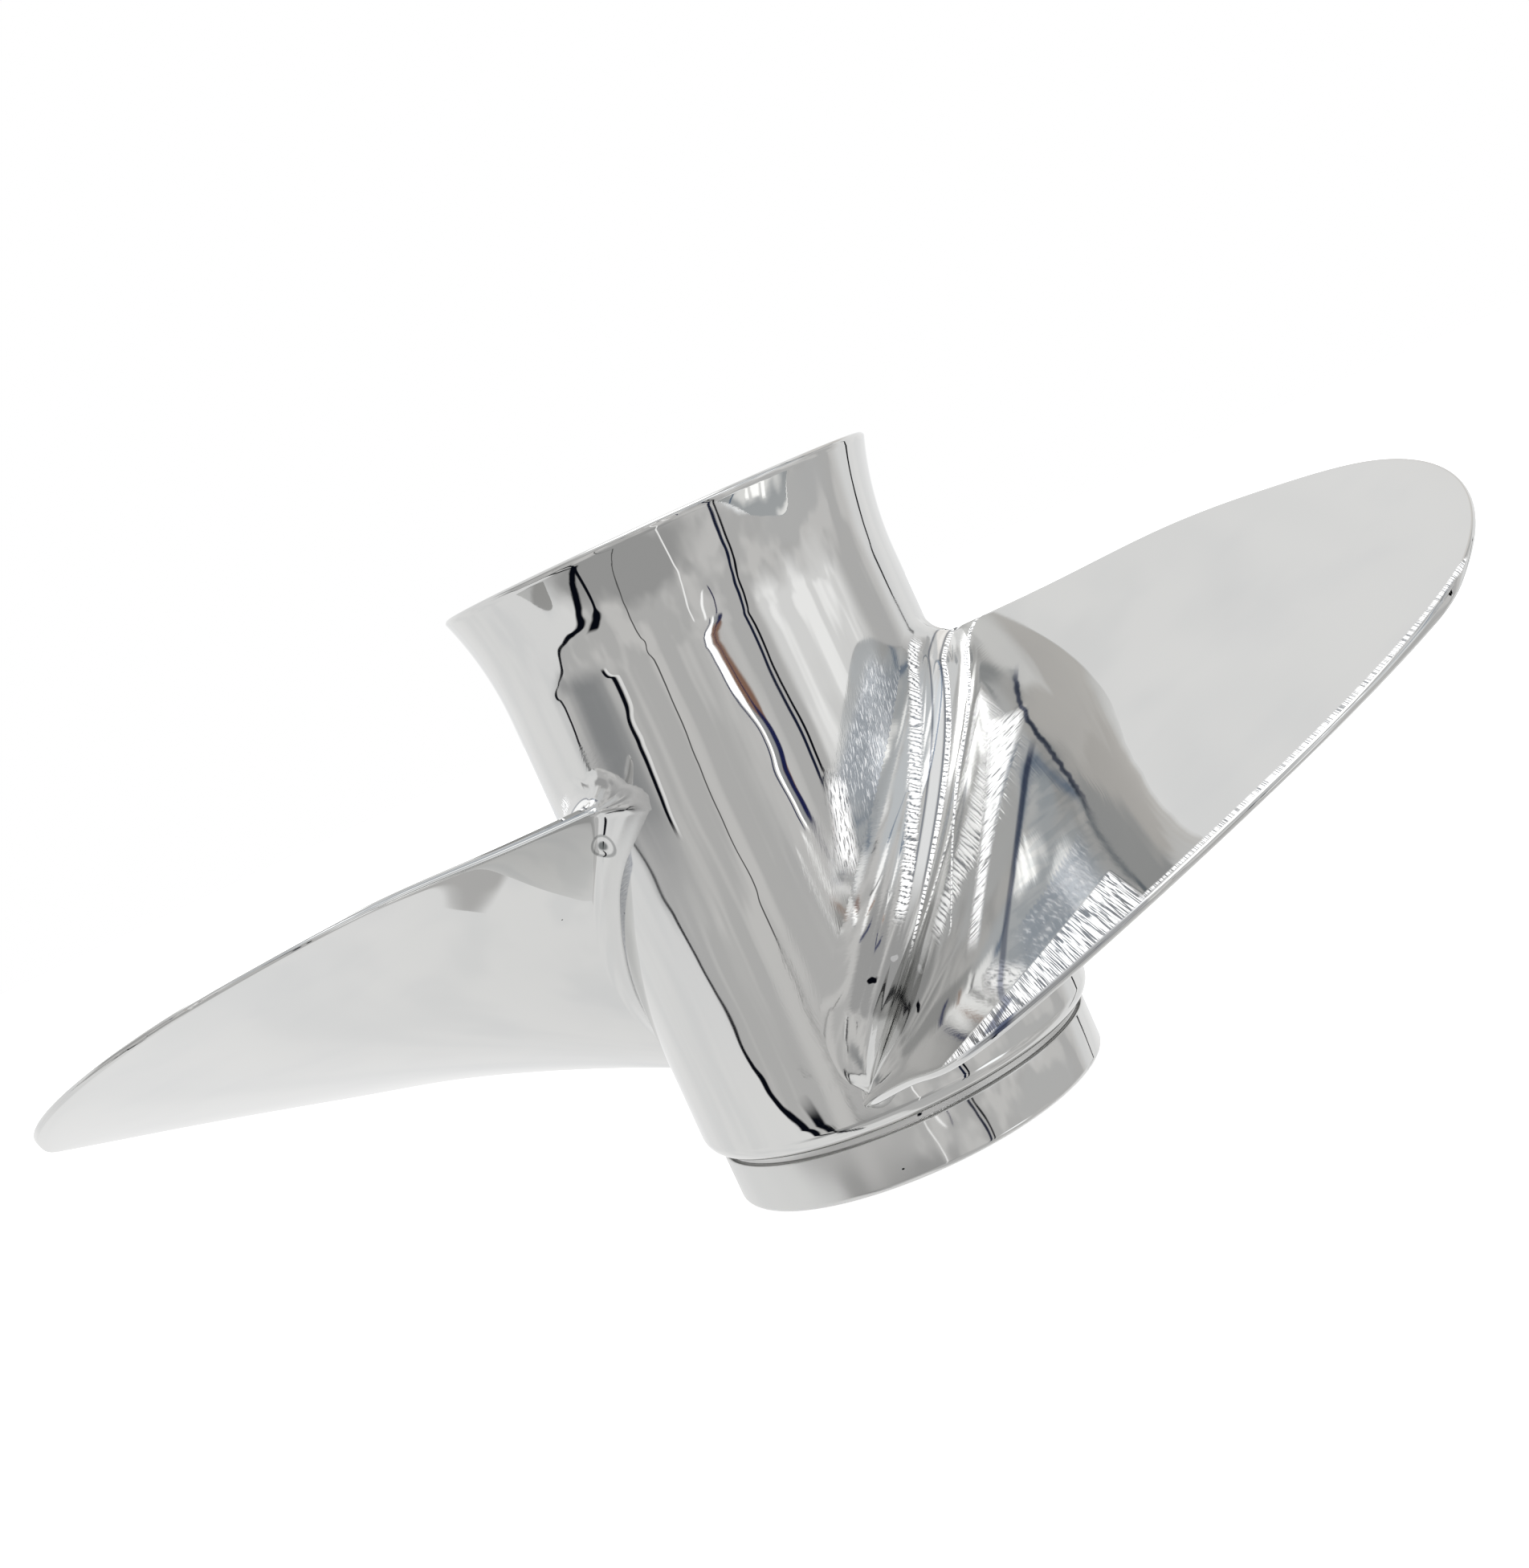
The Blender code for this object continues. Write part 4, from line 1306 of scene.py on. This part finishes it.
rear_blade, rear_barrel = on_blade * rear, on_barrel * rear
front_root = (1 - rear) * on_blade * (1 - steel.fade(mm, 3.5, 5.5))
# Painted shade: the crease in front of the root, on the barrel, is darkened in the colour further down.
crease = (1 - rear) * on_barrel * (1 - steel.fade(mm, 1.5, 4.0)) * stretch((12, 22))

lanes = steel.near(fact["first"] + ragged, 0.0, 1.35, 0.35) * stretch((38, 44), (114, 120))
lanes = lanes + steel.near(fact["second"], 0.0, 0.6) * stretch((30, 40))
lanes = lanes + steel.near(fact["seam"], 0.0, 0.5) * stretch((33, 38))
lanes = (lanes * rear_blade).at_most(1.0)
flank_width = steel.blend_value(stretch((56, 88)), 2.6, 5.0)
sheared = steel.near(fact["flank"] + ragged, -0.4, flank_width, 0.4) * stretch((26, 34), (87, 91))
arm = steel.near(fact["arm"], 0.0, 7.0, 0.6) * stretch((48, 53), (66, 72))
sheared = sheared * rear_blade + arm * rear_barrel

thin_lip = (1 - steel.fade(edge, 2.2, 3.4)) * steel.fade(mm, 130, 137) * steel.fade(edge, 0.3, 0.9)
corner = steel.fade(out, 161.0 * MM, 162.5 * MM) * (1 - steel.fade(fact["strip"], 75, 76))
strip = corner.at_least(thin_lip) * rear_blade * steel.fade(edge, 0.3, 1.2)
# Painted light: the strap and the ridge are painted white highlights, and the strap's edges painted
# shade.
strap = steel.near(fact["second"], -2.6, 1.2, 0.25) * stretch((40, 55)) * rear_blade
strap_edges = steel.near(abs(fact["second"] + 2.6), 1.6, 0.25) * stretch((40, 55)) * rear_blade
ridge = steel.near(fact["ridge"], 0.0, 0.8) * stretch(end=(80, 90)) * rear_blade
# Painted reflections: the hollow and the shore are dark blue lines that stand for dark things in the room
# mirrored on the face.
hollow = steel.near(fact["hollow"], 0.0, 1.2, 0.6) * stretch(end=(72, 80)) * rear_blade
shore = steel.near(fact["shore"] + wobble * 2.4, 1.2, 0.75, 0.6) * stretch((45, 60), (98, 106))
shore = shore * rear_blade
inner = steel.fade(fact["hollow"], 0.5, 3.0) * (1 - steel.fade(fact["shore"], -1.5, 0.5)) * rear_blade
ground = (1 - steel.fade(mm, 30, 44)) * rear
zone = (1 - steel.fade(mm, 24, 34)) * stretch((60, 70), (98, 106)) * rear_barrel
print("masks ready")

# %% [markdown]
# ### The ground steel
#
# Where the wheel cut, light and shade are painted into the colour: painted highlights in white on
# the beads, strokes, streaks, strap and ridge, painted shade in the gaps between them and in the
# crease, and painted reflections of the room, bluish in the zones and dark blue on the hollow and
# shore lines. Marks that scatter light look white from everywhere, so the painted highlights are
# made less metallic, which a metal shader alone can't show.

# %% The ground steel
# Painted light: the two blues of the zones and the line blue are painted reflections, the ridge white is
# a painted highlight and the gap blue is painted shade.
PAINTED_ZONE_REFLECTION = (0.44, 0.48, 0.54, 1.0)
PAINTED_MOTTLED_REFLECTION = (0.40, 0.44, 0.47, 1.0)
PAINTED_RIDGE_HIGHLIGHT = (0.97, 0.97, 0.96, 1.0)
PAINTED_GAP_SHADE = (0.22, 0.24, 0.28, 1.0)
PAINTED_LINE_REFLECTION = (0.05, 0.07, 0.14, 1.0)

# Painted highlights: where the beads, strokes, zone scratches and streaks catch the light, the colour is
# painted white.
painted_highlights = steel.fade(beads, -0.75, -0.35) * lanes + steel.fade(strokes, 0.45, 0.51) * strip
painted_highlights = painted_highlights + steel.fade(fine, 0.55, 0.62) * zone * 0.6 + steel.fade(fine, 0.42, 0.47) * sheared
painted_highlights = painted_highlights.at_most(1.0)
# Painted shade: the gaps between beads, strokes and streaks, the crease, the strap's edges and the outer
# end of the corner strip are painted darker.
painted_shade = (1 - steel.fade(beads, -0.97, -0.8)) * lanes + (1 - steel.fade(strokes, 0.40, 0.46)) * strip
painted_shade = painted_shade + (1 - steel.fade(fine, 0.35, 0.41)) * sheared * 0.6 + crease * fine * 1.3
painted_shade = painted_shade + strap_edges + corner * steel.fade(out, 166.0 * MM, 169.0 * MM) * 0.5
# Painted reflections of the room: bluish in the zone beside the root, mottled between the hollow and the
# shore.
tint = steel.blend(zone * 0.55, colour, PAINTED_ZONE_REFLECTION)
tint = steel.blend(inner * steel.fade(wobble, 0.42, 0.6) * 0.35, tint, PAINTED_MOTTLED_REFLECTION)
tint = steel.blend(strap + ridge, tint, PAINTED_RIDGE_HIGHLIGHT)
tint = steel.blend(painted_shade.at_most(1.0) * 0.75, tint, PAINTED_GAP_SHADE)
tint = steel.blend(painted_highlights, tint, WHITE)
tint = steel.blend(hollow.at_least(shore) * 0.9, tint, PAINTED_LINE_REFLECTION)
rough = relief + beads * lanes * (0.06 * MM) + strokes * strip * (0.09 * MM)
rough = rough + fine * (ground * (0.008 * MM) + sheared * (0.20 * MM) + zone * (0.03 * MM))
matt = ground * 0.05 + strip * 0.06 + inside * 0.3 + front_root * 0.22 + 0.03
wheel = surface(steel, tint, matt, rough, 1 - painted_highlights * 0.8)

at_edge = (1 - steel.fade(fact["strip"], 78, 80)) * steel.fade(out, 158.0 * MM, 160.0 * MM)
worked = rear_blade * (1 - steel.fade(fact["shore"], 2.0, 4.0))
worked = worked.at_least(rear_blade * at_edge.at_least(thin_lip))
worked = worked + rear_barrel * (1 - steel.fade(mm, 40, 48)) + inside + front_root + crease
both = steel.add("ShaderNodeMixShader", {}, {0: worked.at_most(1.0), 1: mirror, 2: wheel})
steel.add("ShaderNodeOutputMaterial", {}, {"Surface": both})
print("polished steel nodes:", len(steel.tree.nodes))

# %% [markdown]
# ## The finishes inside the hub
#
# The casting is blasted and a little stained, the rubber has a grey bloom, and the bronze shows
# the turning marks of the lathe and some tarnish. Each is one Principled shader over noise of the
# right size for its grain, which is quicker than a picture and has no seams.

# %% Cast steel, rubber and bronze
def cast_steel(graph, place):
    grain = graph.noise(place, 900.0, 3.0)
    stain = graph.fade(graph.noise(place, 35.0, 4.0), 0.4, 0.7)
    relief = grain * (0.06 * MM) + graph.noise(place, 120.0, 2.0) * (0.25 * MM)
    colour = graph.blend(stain, (0.52, 0.52, 0.51, 1.0), (0.40, 0.39, 0.37, 1.0))
    return surface(graph, colour, grain * 0.15 + 0.32, relief)


def moulded_rubber(graph, place):
    relief = graph.noise(place, 1500.0, 2.0) * (0.04 * MM)
    bloom = graph.fade(graph.noise(place, 90.0, 3.0), 0.5, 0.75)
    colour = graph.blend(bloom, (0.018, 0.018, 0.019, 1.0), (0.045, 0.045, 0.043, 1.0))
    return surface(graph, colour, bloom * 0.15 + 0.55, relief, 0.0)


def machined_bronze(graph, place):
    x, y, z = graph.split(place)
    out = (x * x + y * y).math("SQRT")
    relief = graph.noise(graph.join(out * 6000, z * 6000, 0.0), 1.0, 1.0) * (0.006 * MM)
    tarnish = graph.fade(graph.noise(place, 70.0, 4.0), 0.42, 0.7)
    colour = graph.blend(tarnish, (0.66, 0.47, 0.22, 1.0), (0.45, 0.31, 0.15, 1.0))
    return surface(graph, colour, tarnish * 0.15 + 0.24, relief)


finishes = {"polished_steel": steel_finish}
for slot, dress in (("cast_steel", cast_steel), ("rubber", moulded_rubber), ("bronze", machined_bronze)):
    finishes[slot], graph = new_material(f"{dress.__name__}_finish")
    shader = dress(graph, graph.add("ShaderNodeTexCoord", output="Object"))
    graph.add("ShaderNodeOutputMaterial", {}, {"Surface": shader})
for piece, slot in dressed:
    piece.data.materials.clear()
    piece.data.materials.append(finishes[slot])
print("finishes:", sorted(finishes))
